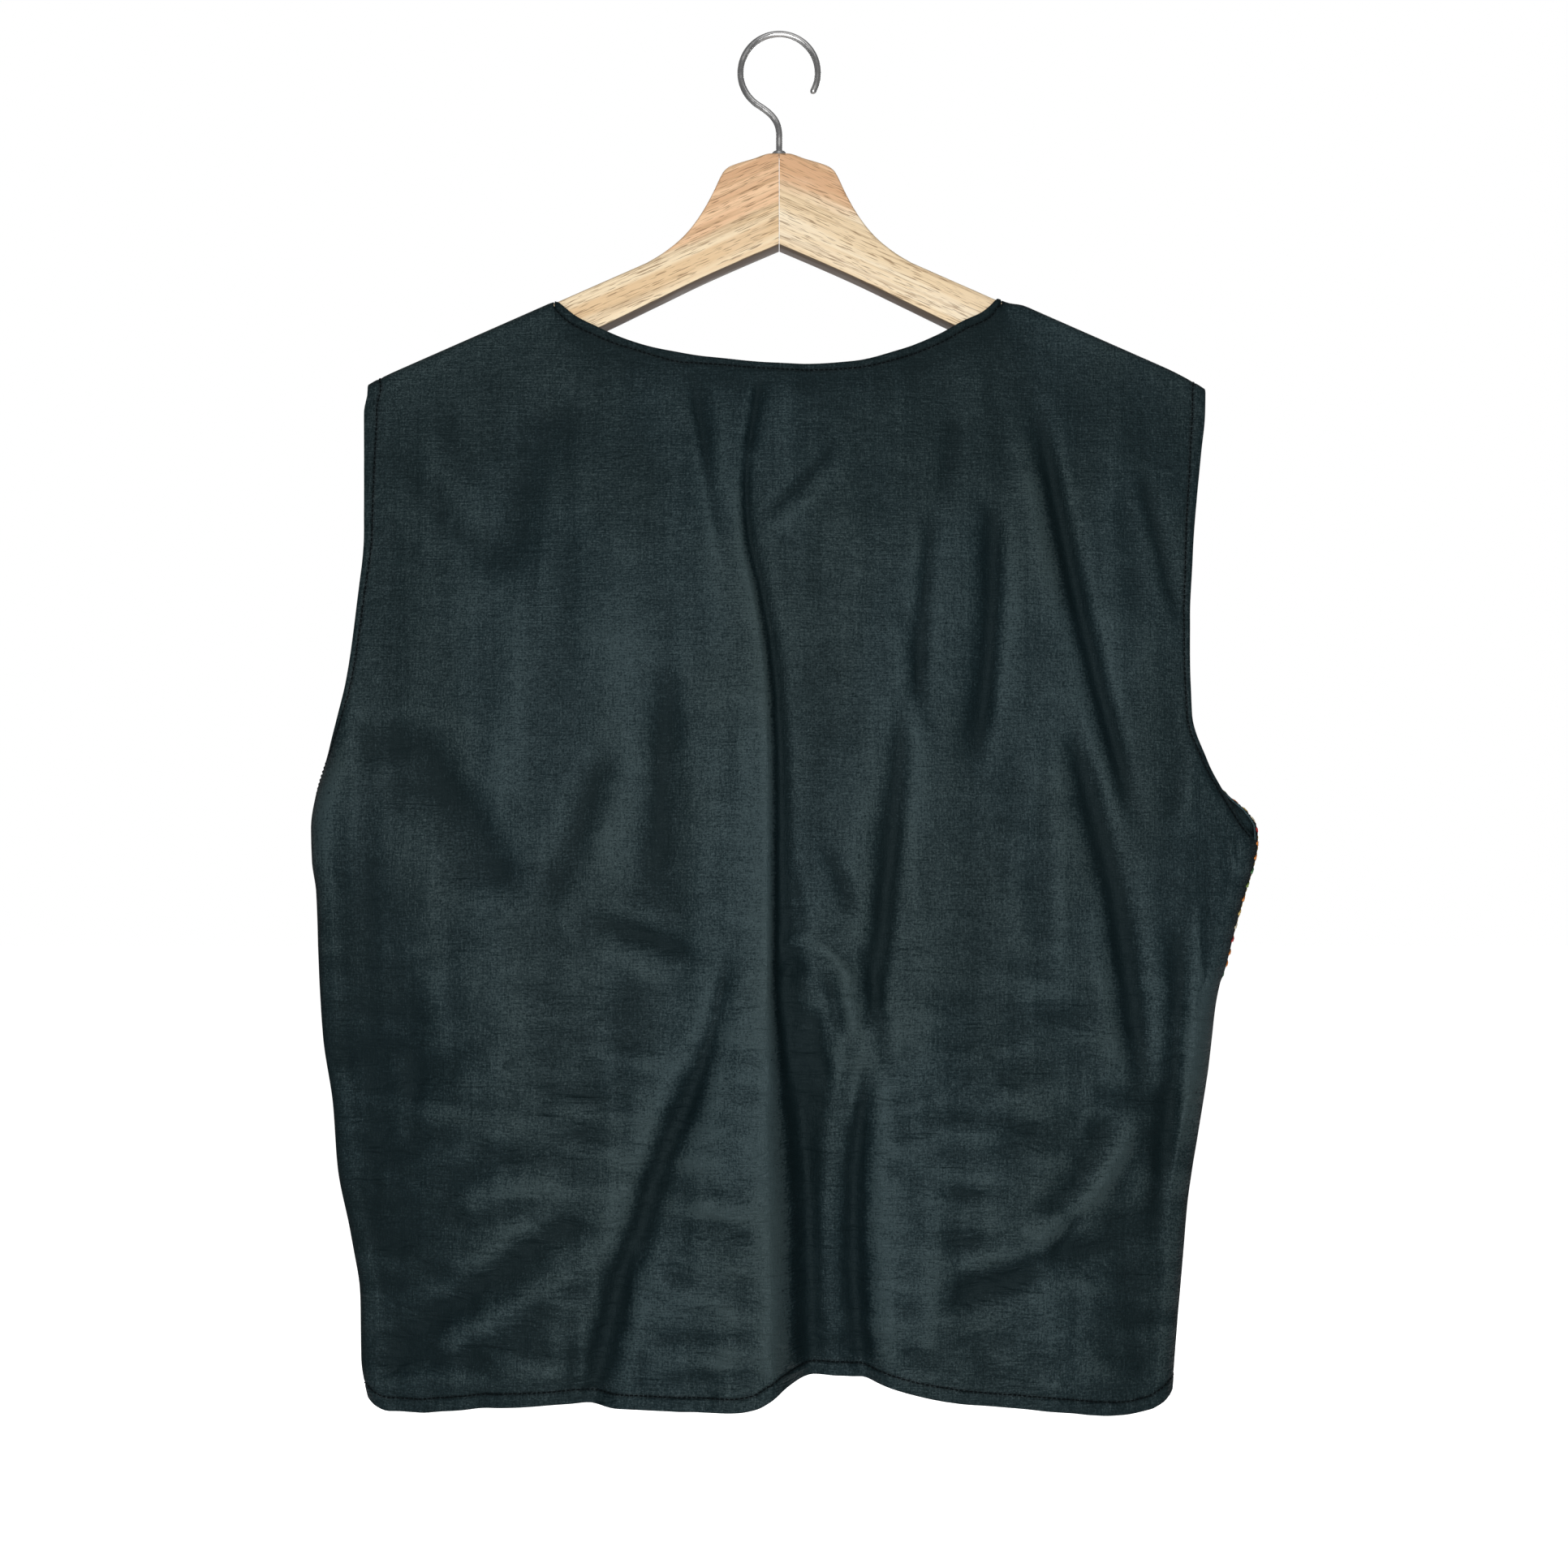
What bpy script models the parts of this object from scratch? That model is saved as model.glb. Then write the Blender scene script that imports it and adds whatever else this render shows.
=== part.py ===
"""A sleeveless folk vest hung on a wooden hanger.

The vest is three cut pieces: a back, and two embroidered fronts that meet down the middle below a V neck.
Each is a thin wall of cloth that starts at the shoulder seam on top of the hanger and hangs to the hem.
The hanger is two mitred wooden arms and a steel hook.

Frame: +Z up, +Y out of the vest's front, -Y out of its back. The origin is the top of the hook's inside,
where it hangs on a rod. Sizes below are millimetres, and the objects are built in metres.
"""

import math

import bpy
import numpy as np

MM = 0.001
SHARP_ANGLE = 50
SIGN = {"left": -1, "right": 1}

# Cloth
WALL = 1.2
SEAM_GAP = 0.4

# Grid of the cloth. The rows at the top are lengths down from the shoulder seam
ROWS_BELOW_TOP = 24
TOP_ROWS = (0.0, 3.0, 5.8, 7.8, 9.6, 12.6, 18.0)
NECK_ROW = 1.6
TURN_CELLS = 4
FRONT_CELLS = 12

# Columns of the back: a place across its top, and the number of cells from the row before it
BACK_COLUMNS = (
    (-225, 0), (-126.5, 6), (-119.5, 3), (-40, 6), (22, 10), (119.5, 7), (126.5, 3), (233.3, 6),
)

# Wooden hanger, in its own plane
WOOD_HALF_THICKNESS = 8.0
WOOD_EDGE_ROUND = 3.6
WOOD_EDGE_STEPS = 3
WOOD_TOP_Z = -67.4
ARM_SLOPE = 0.44
ARM_LINE_X = 74.1
ARM_LINE_Z = -128.7
MITRE_GAP = 0.3

# The arm's outline, each row a place along and a height: its underside, and its neck up to the top
ARM_UNDERSIDE = (
    (0, -118.8), (22, -128.2), (44.4, -138.2), (70, -150.6), (100.5, -165.3), (150, -186.5), (203, -208.8),
)
ARM_NECK = (
    (66.5, -124.2), (57.9, -117.8), (52.4, -112.6), (47.0, -106.0), (41.6, -97.8), (36.4, -88.0),
    (32.8, -80.4), (31.0, -77.4), (28.2, -75.0), (25.0, -73.6), (14.5, -70.4), (4.5, WOOD_TOP_Z),
    (0, WOOD_TOP_Z),
)
ARM_TOP_STATIONS = (202, 160, 118, 90, ARM_LINE_X)
ARM_END_RADIUS = 8.5
ARM_END_CENTRE_X = 208.5
ARM_END_CENTRE_DROP = 10.0
ARM_END_TURN = (-75, 60)

# Steel hook. Its loop starts where the stem's bend joins it and ends at the tip, at these angles from +X
WIRE_RADIUS = 1.8
HOOK_INSIDE_RADIUS = 20.0
HOOK_SIDES = 10
HOOK_JOIN_ANGLE = 238
HOOK_TIP_ANGLE = -28
HOOK_STEM_TOP_Z = -55.0
HOOK_BEND_HANDLE = 8.0
HOOK_BEND_CELLS = 8
HOOK_LOOP_CELLS = 26
COLLAR_RADIUS = 4.0
COLLAR_HEIGHT = 2.4
SEAT_GAP = 0.3

# The rounded tip of the wire, each row how far on and how wide, in wire radii
TIP_DOME = ((0.55, 0.86), (0.92, 0.45))

# How the cloth goes over the hanger
CLOTH_OVER_WOOD = 0.5
SHOULDER_DEPTH = 9.5
CREST_DROP = 8.0
CREST_POWER = 4
ARM_COVER = 26.0

# Shoulder seam, from the neck to the armhole
NECK_X = 126.4
TIP_DROOP_FROM = 214.0
TIP_DROOP = 0.004
SECTION_STEPS = 80
FULL_DROP = 900.0

# How far the sides turn round, and the angle of the side seam, past (-) or short of (+) the outermost line
TURN_WIDTH = 13.0
FREE_EDGE_ANGLE = 68.0
BACK_SEAM_ANGLE = {"left": -20.0, "right": 31.0}
ARMPIT_Z = {"left": -446.0, "right": -454.0}
ARMPIT_BLEND = 85.0

# Outlines, each row a height and a half width from the middle
SIDE = {
    "left": (
        (-446, 263.1), (-464, 262.7), (-482, 260.4), (-528, 259.0), (-564, 256.8), (-601, 251.3),
        (-637, 248.6), (-674, 241.3), (-710, 235.8), (-745, 235.3), (-768, 231.0),
    ),
    "right": (
        (-454, 269.0), (-464, 267.0), (-482, 260.8), (-500, 255.2), (-519, 251.2), (-546, 244.8),
        (-583, 240.7), (-619, 235.3), (-655, 229.8), (-692, 226.6), (-728, 222.5), (-768, 217.5),
    ),
}
BACK_ARMHOLE = {
    "left": (
        (-203, 230.0), (-214, 232.0), (-282, 231.5), (-319, 234.8), (-364, 240.6), (-400, 250.9),
        (-428, 260.4),
    ),
    "right": (
        (-203, 238.2), (-214, 238.0), (-237, 235.6), (-291, 230.4), (-346, 228.0), (-382, 229.2),
        (-409, 238.2), (-428, 248.8), (-444, 259.0),
    ),
}
FRONT_ARMHOLE = {
    "left": (
        (-203, 230.0), (-219, 228.0), (-260, 218.0), (-310, 209.5), (-350, 211.0), (-385, 222.0),
        (-410, 237.0), (-430, 252.5),
    ),
    "right": (
        (-203, 238.2), (-219, 235.0), (-260, 222.0), (-310, 212.5), (-350, 212.5), (-385, 222.5),
        (-410, 237.0), (-428, 252.5), (-437, 263.0), (-446, 268.6),
    ),
}

# Back neck edge and back hem, each row a place across and a height
BACK_NECK = (
    (-126.5, -150.6), (-124.2, -149.8), (-121.8, -149.8), (-119.5, -152.6), (-113, -160.0), (-103, -165.2),
    (-86, -172.6), (-68, -178.0), (-41, -182.5), (12, -187.1), (41, -185.3), (68, -178.4), (89, -170.0),
    (103, -162.4), (113, -157.8), (119.5, -152.4), (121.8, -149.8), (124.2, -149.8), (126.5, -150.6),
)
BACK_HEM = (
    (-232, -767.0), (-200, -766.8), (-160, -763.8), (-115, -761.6), (-85, -763.0), (-60, -762.6),
    (-14, -761.6), (-5, -758.5), (3, -750.5), (26, -748.3), (45, -750.0), (75, -757.4), (110, -762.4),
    (150, -765.0), (190, -767.8), (220, -766.5),
)

# Front edge from the shoulder down the V neck and the middle, each row a height and a half width
FRONT_EDGE = (
    (-150.6, 126.5), (-175, 113), (-215, 88.5), (-262, 57), (-306, 28), (-340, 8.5), (-358, 3.2),
    (-380, 2.2), (-500, 3.4), (-640, 6.0), (-766, 9.0),
)
FRONT_HEM_Z = -758.0
FRONT_HEM_SIDE_Z = {"left": -767.0, "right": -766.5}
FRONT_CORNER_RISE = 24.0
FRONT_CORNER_WIDTH = 17.0
FRONT_HEM_FALL_FROM = 0.55

# The deep crease down the middle of the back: a ridge to its left, and a trough to its right
# Columns: height, place across, ridge depth, ridge width, trough depth, trough width, trough's distance
CREASE = (
    (-205, -9.0, 0.0, 30, 0.0, 7, 0.0),
    (-243, -16.5, 1.2, 30, 1.6, 8, 1.0),
    (-277, -16.7, 2.2, 32, 3.0, 8, 2.0),
    (-313, -11.0, 3.0, 34, 3.8, 9, 3.0),
    (-348, -5.7, 3.8, 36, 4.6, 10, 4.0),
    (-436, -1.7, 5.2, 42, 6.0, 13, 5.0),
    (-524, -1.3, 6.8, 46, 8.0, 22, 9.0),
    (-612, -0.8, 8.6, 50, 10.5, 30, 16.0),
    (-700, -0.8, 11.0, 54, 13.0, 34, 22.0),
    (-766, -1.7, 13.0, 56, 15.5, 35, 25.0),
)
CREASE_HALF_STEP = 4.0

# A fold that fades out does so over this share of its length at each end
FADE = 0.35

# Other folds, a row for each: where it starts, bends and ends, its half width and its depth (- is a trough)
# Columns: x top, z top, x middle, z middle, x low, z low, half width, depth, runs off the hem
BACK_FOLDS = (
    (-31.7, -515, -56.0, -612, -105.0, -760, 17, -8.0, True),
    (-188.0, -380, -158.0, -452, -164.0, -520, 24, -4.5, False),
    (-61.0, -345, -64.0, -418, -68.0, -490, 12, -4.0, False),
    (-88.0, -405, -108.0, -452, -122.0, -520, 13, -2.8, False),
    (108.0, -228, 114.0, -350, 106.0, -480, 12, -4.6, False),
    (144.0, -226, 166.0, -318, 196.0, -430, 12, -5.0, False),
    (160.0, -392, 180.0, -462, 176.0, -560, 12, -4.4, False),
    (76.0, -370, 66.0, -430, 52.0, -530, 10, -3.2, False),
    (216.0, -490, 214.0, -565, 208.0, -660, 9, -3.6, False),
    (176.0, -615, 166.0, -648, 142.0, -690, 11, -4.2, False),
    (-140.0, -640, -190.0, -690, -226.0, -766, 22, -3.0, True),
    (98.0, -640, 112.0, -700, 118.0, -760, 20, -3.0, True),
    (-43.0, -200, -38.0, -232, -29.0, -285, 9, -2.6, False),
)
FRONT_FOLDS = {
    "left": (
        (-150.0, -235, -162.0, -380, -148.0, -560, 15, -4.2, False),
        (-78.0, -330, -92.0, -520, -104.0, -757, 18, -6.0, True),
        (-190.0, -470, -182.0, -610, -172.0, -757, 18, -5.0, True),
        (-40.0, -460, -46.0, -600, -50.0, -757, 16, 4.0, True),
    ),
    "right": (
        (146.0, -235, 160.0, -370, 152.0, -540, 15, -4.4, False),
        (70.0, -340, 82.0, -520, 96.0, -757, 18, -6.0, True),
        (196.0, -480, 184.0, -610, 166.0, -757, 18, -5.0, True),
        (36.0, -470, 42.0, -600, 50.0, -757, 16, 3.6, True),
    ),
}

# How much further each layer stands off the hanger's plane, by the distance below the shoulder
BACK_FULLNESS = ((0, 0.0), (26, 0.0), (190, 12.5), (420, 15.5), (620, 17.5))
FRONT_FULLNESS = ((0, 0.0), (26, 0.0), (190, 9.0), (420, 12.0), (620, 14.0))

# That fullness is lost by this share at this half width, and folds grow in over this much below the arm
SIDE_LOSS = 0.5
SIDE_LOSS_X = 250.0
FOLDS_GROW = 40.0


def through(points, at, column=1):
    """A smooth curve through a table's rows that never overshoots them: piecewise cubics whose slope at
    each row is the harmonic mean of the slopes to its two neighbours."""
    table = np.array(sorted(points, key=lambda row: row[0]), float)
    x, y = table[:, 0], table[:, column]
    step = np.diff(x)
    slope = np.diff(y) / step
    tangent = np.zeros(len(x))
    same_way = slope[:-1] * slope[1:] > 0
    mean = 2 * slope[:-1] * slope[1:] / np.where(same_way, slope[:-1] + slope[1:], 1)
    tangent[1:-1] = np.where(same_way, mean, 0)
    tangent[0], tangent[-1] = slope[0], slope[-1]
    at = np.clip(at, x[0], x[-1])
    i = np.clip(np.searchsorted(x, at) - 1, 0, len(x) - 2)
    t = (at - x[i]) / step[i]
    return (
        y[i] * (1 + 2 * t) * (1 - t) ** 2
        + tangent[i] * step[i] * t * (1 - t) ** 2
        + y[i + 1] * t**2 * (3 - 2 * t)
        + tangent[i + 1] * step[i] * t**2 * (t - 1)
    )


def ramp(low, high, at):
    """0 below low, 1 above high, and a smooth S between them."""
    t = np.clip((at - low) / (high - low), 0, 1)
    return t * t * (3 - 2 * t)


def wood_top(x):
    """Height of the arm's straight top edge."""
    return ARM_LINE_Z - ARM_SLOPE * (np.abs(x) - ARM_LINE_X)


def crest(x):
    """Height of the cloth's middle where it goes over the hanger, drooping past the arm's end."""
    droop = TIP_DROOP * np.maximum(np.abs(x) - TIP_DROOP_FROM, 0) ** 2
    return wood_top(x) + CLOTH_OVER_WOOD + WALL / 2 - droop


def crest_section():
    """The way over the hanger, from its crest down one side: a quarter of a squarish ellipse, then
    straight down.

    Returns three matching arrays: the length along it, the drop below the crest and the share of full
    depth."""
    share = np.linspace(0, 1, SECTION_STEPS + 1)
    drop = CREST_DROP * (1 - (1 - share**CREST_POWER) ** (1 / CREST_POWER))
    length = np.concatenate([[0], np.cumsum(np.hypot(np.diff(drop), np.diff(share) * SHOULDER_DEPTH))])
    return (
        np.append(length, length[-1] + FULL_DROP),
        np.append(drop, drop[-1] + FULL_DROP),
        np.append(share, 1.0),
    )


CREST_LENGTH, CREST_FALL, CREST_SHARE = crest_section()


def row_lengths(top_drop, hem_drop):
    """Distance down the cloth of every row, for columns that start and end at these drops below the
    crest."""
    start = np.interp(top_drop, CREST_FALL, CREST_LENGTH)
    end = np.interp(hem_drop, CREST_FALL, CREST_LENGTH)
    number = np.arange(len(TOP_ROWS))[:, None]
    top = np.maximum(np.array(TOP_ROWS)[:, None], start + NECK_ROW * number)
    share = np.linspace(0, 1, ROWS_BELOW_TOP + 1)[1:, None]
    return np.vstack([top, top[-1:] + (end - top[-1:]) * share])


def folds(table, x, z):
    """Sum of soft folds: each follows a parabola through its three points, has a bell-shaped section,
    and fades in at its top and out at its end."""
    total = np.zeros_like(x)
    for x0, z0, x1, z1, x2, z2, width, depth, off_hem in table:
        along = np.clip((z0 - z) / (z0 - z2), 0, 1)
        middle = (z0 - z1) / (z0 - z2)
        bend = (x1 - x0 - (x2 - x0) * middle) / (middle * (middle - 1))
        path = x0 + (x2 - x0) * along + bend * along * (along - 1)
        lean = ((x2 - x0) + bend * (2 * along - 1)) / (z0 - z2)
        away = (x - path) / np.sqrt(1 + lean**2)
        fade = ramp(0, FADE, along)
        if not off_hem:
            fade = fade * (1 - ramp(1 - FADE, 1, along))
        inside = (z <= z0) & ((z >= z2) | off_hem)
        total += np.where(inside, depth * fade * np.exp(-((away / width) ** 2)), 0)
    return total


def crease(x, z):
    """The step down the middle of the back: a broad ridge that drops into a trough within a few
    millimetres."""
    path, ridge, ridge_width, trough, trough_width, trough_at = (through(CREASE, z, k) for k in range(1, 7))
    away = x - path
    right = ramp(-CREASE_HALF_STEP, CREASE_HALF_STEP, away)
    left_part = ridge * np.exp(-((np.minimum(away, 0) / ridge_width) ** 2))
    right_part = -trough * np.exp(-(((np.maximum(away, 0) - trough_at) / trough_width) ** 2))
    return left_part * (1 - right) + right_part * right


def stand_off(fullness, x, z):
    """Depth of the layer without folds: the shoulder's, and more lower down, less so towards the sides."""
    below = crest(x) - z
    side = 1 - SIDE_LOSS * np.clip(np.abs(x) / SIDE_LOSS_X, 0, 1) ** 3
    return SHOULDER_DEPTH + through(fullness, below) * side


def layer_depth(panel, side, x, z):
    """How far the back or a front stands off the hanger's plane."""
    free = ramp(ARM_COVER, ARM_COVER + FOLDS_GROW, crest(x) - z)
    if panel == "back":
        return stand_off(BACK_FULLNESS, x, z) + free * (folds(BACK_FOLDS, x, z) + crease(x, z))
    return stand_off(FRONT_FULLNESS, x, z) + free * folds(FRONT_FOLDS[side], x, z)


def edge_line(panel, side, z):
    """Half width of a panel's outline at a height, and the angle at which its edge lies on the rounded
    side."""
    armhole = (BACK_ARMHOLE if panel == "back" else FRONT_ARMHOLE)[side]
    seam = math.radians(BACK_SEAM_ANGLE[side] if panel == "back" else -BACK_SEAM_ANGLE[side])
    inset = TURN_WIDTH * (1 - math.cos(max(seam, 0)))
    outline = armhole + tuple((height, half - inset) for height, half in SIDE[side])
    open_share = ramp(ARMPIT_Z[side], ARMPIT_Z[side] + ARMPIT_BLEND, z)
    angle = seam + (math.radians(FREE_EDGE_ANGLE) - seam) * open_share
    return through(outline, z), angle


def turn_start(panel, side, z):
    """Half width at which a panel's rounded side begins."""
    half_width, edge_angle = edge_line(panel, side, z)
    return half_width - TURN_WIDTH * np.cos(np.maximum(edge_angle, 0))


def side_turn(panel, side, z, share):
    """Points on a panel's rounded side, from its edge (share 0) to where it lies flat (share 1).

    The side is a quarter of an ellipse. An edge past the outermost line lies on the other layer's half,
    and the ellipse is as deep there as that layer. Returns the half width and the depth off the plane."""
    sign = SIGN[side]
    edge_angle = edge_line(panel, side, z)[1] + SEAM_GAP / 2 / TURN_WIDTH
    angle = edge_angle + (math.pi / 2 - edge_angle) * share
    start = turn_start(panel, side, z)
    other = "front" if panel == "back" else "back"
    own_depth = layer_depth(panel, side, sign * start, z)
    other_depth = layer_depth(other, side, sign * turn_start(other, side, z), z)
    depth = np.where(angle > 0, own_depth, other_depth)
    return start + TURN_WIDTH * np.cos(angle), depth * np.sin(angle)


def spaced(depth):
    """A layer's depth, kept half a seam's gap clear of the plane where the shoulder seam lies on it."""
    return np.where(np.abs(depth) < SEAM_GAP / 2, SEAM_GAP / 2, depth)


def turn_shares():
    """Where the columns of a rounded side lie, from its edge (0) to just before it lies flat (1)."""
    return np.linspace(0, 1, TURN_CELLS + 1)[:-1]


def back_across(place, z):
    """Places across and depths of the back's points at these heights, from its left edge to its right."""
    left, right = turn_start("back", "left", z[:, :1]), turn_start("back", "right", z[:, -1:])
    x = -left + (left + right) * place
    depth = layer_depth("back", None, x, z)
    for k, share in enumerate(turn_shares()):
        half, depth[:, k] = side_turn("back", "left", z[:, k], share)
        x[:, k] = -half
        x[:, -1 - k], depth[:, -1 - k] = side_turn("back", "right", z[:, -1 - k], share)
    return x, depth


def back_panel():
    """Middle surface of the back, as rows from the top edge to the hem and columns from left to right."""
    stations, cells = np.array(BACK_COLUMNS).T
    across = np.interp(np.arange(cells.sum() + 1), np.cumsum(cells), stations)
    across = (across - stations[0]) / (stations[-1] - stations[0])
    turn = turn_shares()
    place = np.concatenate([0 * turn, across, 0 * turn + 1])[None]
    top_x, _ = back_across(place, 0 * place)
    hem_x, _ = back_across(place, 0 * place + SIDE["left"][-1][0])
    neck = np.minimum(through(BACK_NECK, top_x), crest(top_x))
    top_z = np.where(np.abs(top_x) < NECK_X, neck, crest(top_x))
    length = row_lengths(crest(top_x) - top_z, crest(top_x) - through(BACK_HEM, hem_x))
    z = crest(top_x) - np.interp(length, CREST_LENGTH, CREST_FALL)
    over = np.interp(length, CREST_LENGTH, CREST_SHARE)
    x, depth = back_across(place, z)
    return np.stack([x, -spaced(depth * over), z], axis=2)


def front_across(side, place, z):
    """Half widths and depths of a front's points at these heights, from its front edge out to the side."""
    inner, outer = through(FRONT_EDGE, z[:, :1]), turn_start("front", side, z[:, -1:])
    x = inner + (outer - inner) * place
    depth = layer_depth("front", side, SIGN[side] * x, z)
    for k, share in enumerate(turn_shares()):
        x[:, -1 - k], depth[:, -1 - k] = side_turn("front", side, z[:, -1 - k], share)
    return x, depth


def front_panel(side):
    """Middle surface of a front, as rows from the shoulder to the hem and columns from its front edge
    out."""
    place = np.concatenate([np.linspace(0, 1, FRONT_CELLS + 1), 0 * turn_shares() + 1])[None]
    top_x, _ = front_across(side, place, 0 * place)
    hem_x, _ = front_across(side, place, 0 * place + SIDE[side][-1][0])
    hem_z = (
        FRONT_HEM_Z
        + (FRONT_HEM_SIDE_Z[side] - FRONT_HEM_Z) * ramp(FRONT_HEM_FALL_FROM, 1, place)
        + FRONT_CORNER_RISE * np.exp(-((hem_x / FRONT_CORNER_WIDTH) ** 2))
    )
    length = row_lengths(0 * top_x, crest(top_x) - hem_z)
    z = crest(top_x) - np.interp(length, CREST_LENGTH, CREST_FALL)
    over = np.interp(length, CREST_LENGTH, CREST_SHARE)
    x, depth = front_across(side, place, z)
    return np.stack([SIGN[side] * x, spaced(depth * over), z], axis=2)


def material(name, colour, roughness, metallic=0.0):
    """A Principled BSDF of one colour."""
    made = bpy.data.materials.new(name)
    made.use_nodes = True
    shader = made.node_tree.nodes["Principled BSDF"]
    shader.inputs["Base Color"].default_value = (*colour, 1)
    shader.inputs["Roughness"].default_value = roughness
    shader.inputs["Metallic"].default_value = metallic
    return made


def add_object(name, points, faces, finish, parent):
    """A mesh object from points in millimetres."""
    mesh = bpy.data.meshes.new(name)
    mesh.from_pydata((np.asarray(points, float) * MM).tolist(), [], faces)
    mesh.validate()
    mesh.shade_smooth()
    mesh.set_sharp_from_angle(angle=math.radians(SHARP_ANGLE))
    made = bpy.data.objects.new(name, mesh)
    made.data.materials.append(finish)
    made.parent = parent
    bpy.context.scene.collection.objects.link(made)
    return made


def surface_normals(grid):
    """Unit normals of a grid of points, from the differences between neighbours."""
    down = np.gradient(grid, axis=0)
    across = np.gradient(grid, axis=1)
    normal = np.cross(down, across)
    return normal / np.linalg.norm(normal, axis=2, keepdims=True)


def cloth_wall(name, grid, finish, parent):
    """A closed wall of even thickness, half of it on each side of a grid's surface."""
    offset = surface_normals(grid) * WALL / 2
    points = np.concatenate([(grid + offset).reshape(-1, 3), (grid - offset).reshape(-1, 3)])
    count = len(points) // 2
    index = np.arange(count).reshape(grid.shape[:2])
    cell = (index[:-1, :-1], index[1:, :-1], index[1:, 1:], index[:-1, 1:])
    side = np.stack([corner.ravel() for corner in cell], axis=1)
    rim = np.concatenate([index[:-1, 0], index[-1, :-1], index[:0:-1, -1], index[0, :0:-1]])
    following = np.roll(rim, -1)
    edge = np.stack([rim, rim + count, following + count, following], axis=1)
    faces = np.concatenate([side, side[:, ::-1] + count, edge])
    return add_object(name, points, faces.tolist(), finish, parent)


def skinned_rings(rings):
    """Faces over a row of matching closed rings, with a face across each end."""
    count = len(rings[0])
    last = (len(rings) - 1) * count
    faces = [list(range(count)), [last + k for k in reversed(range(count))]]
    for low in range(0, last, count):
        for k in range(count):
            following = (k + 1) % count
            faces.append([low + k, low + count + k, low + count + following, low + following])
    return faces


def arm_outline():
    """Outline of the right arm in the hanger's plane, counter-clockwise from the foot of the mitre:
    along the underside, round the end, back along the top, up the neck and over to the mitre."""
    centre_z = wood_top(ARM_END_CENTRE_X) - ARM_END_CENTRE_DROP
    turn = np.radians(np.linspace(*ARM_END_TURN, 7))
    end_x = ARM_END_CENTRE_X + ARM_END_RADIUS * np.cos(turn)
    end = np.stack([end_x, centre_z + ARM_END_RADIUS * np.sin(turn)], axis=1)
    top = [(x, wood_top(x)) for x in ARM_TOP_STATIONS]
    outline = np.vstack([ARM_UNDERSIDE, end, top, ARM_NECK])
    outline[[0, -1], 0] = MITRE_GAP / 2
    return outline


def inset_outline(outline, distance):
    """The outline drawn in by a distance, with its two mitre points sliding along the mitre."""
    ahead = np.roll(outline, -1, axis=0) - outline
    ahead[-1] = outline[-1] - outline[-2]
    behind = outline - np.roll(outline, 1, axis=0)
    behind[0] = ahead[0]
    unit_ahead = ahead / np.linalg.norm(ahead, axis=1, keepdims=True)
    unit_behind = behind / np.linalg.norm(behind, axis=1, keepdims=True)
    along = unit_ahead + unit_behind
    along /= np.linalg.norm(along, axis=1, keepdims=True)
    inward = np.stack([-along[:, 1], along[:, 0]], axis=1)
    cosine = np.sum(along * unit_ahead, axis=1, keepdims=True)
    moved = outline + inward * distance / np.maximum(cosine, 0.5)
    moved[[0, -1], 0] = outline[[0, -1], 0]
    return moved


def hanger_arm(side, finish, parent):
    """One wooden arm: its outline carried through its thickness, with rounded edges except at the mitre."""
    outline = arm_outline()
    angles = np.linspace(0, math.pi / 2, WOOD_EDGE_STEPS + 1)
    rings = []
    for face, stations in ((-1, angles[::-1]), (1, angles)):
        for angle in stations:
            drawn_in = inset_outline(outline, WOOD_EDGE_ROUND * (1 - math.cos(angle)))
            y = face * (WOOD_HALF_THICKNESS - WOOD_EDGE_ROUND * (1 - math.sin(angle)))
            x = SIGN[side] * drawn_in[:, 0]
            rings.append(np.stack([x, np.full(len(outline), y), drawn_in[:, 1]], axis=1))
    faces = skinned_rings(rings)
    if side == "left":
        faces = [face[::-1] for face in faces]
    return add_object(f"hanger_arm_{side}", np.concatenate(rings), faces, finish, parent)


def hook_line():
    """Centreline of the hook in the hanger's plane: up the stem, out to one side and round the top.

    The bend is a Bezier curve that leaves the stem upwards and joins the loop along its own direction."""
    loop_radius = HOOK_INSIDE_RADIUS + WIRE_RADIUS
    turn = np.radians(np.linspace(HOOK_JOIN_ANGLE, HOOK_TIP_ANGLE, HOOK_LOOP_CELLS + 1))
    loop = loop_radius * np.stack([np.cos(turn), np.sin(turn)], axis=1) - (0, HOOK_INSIDE_RADIUS)
    heading = np.array([math.sin(turn[0]), -math.cos(turn[0])])
    stem_top = np.array([0.0, HOOK_STEM_TOP_Z])
    handles = (stem_top, stem_top + (0, HOOK_BEND_HANDLE), loop[0] - HOOK_BEND_HANDLE * heading, loop[0])
    t = np.linspace(0, 1, HOOK_BEND_CELLS + 1)[:-1, None]
    weights = ((1 - t) ** 3, 3 * t * (1 - t) ** 2, 3 * t**2 * (1 - t), t**3)
    bend = sum(weight * handle for weight, handle in zip(weights, handles))
    foot = WOOD_TOP_Z + SEAT_GAP
    stem = [(0, foot), (0, foot + COLLAR_HEIGHT), (0, foot + COLLAR_HEIGHT)]
    return np.vstack([stem, bend, loop])


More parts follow.
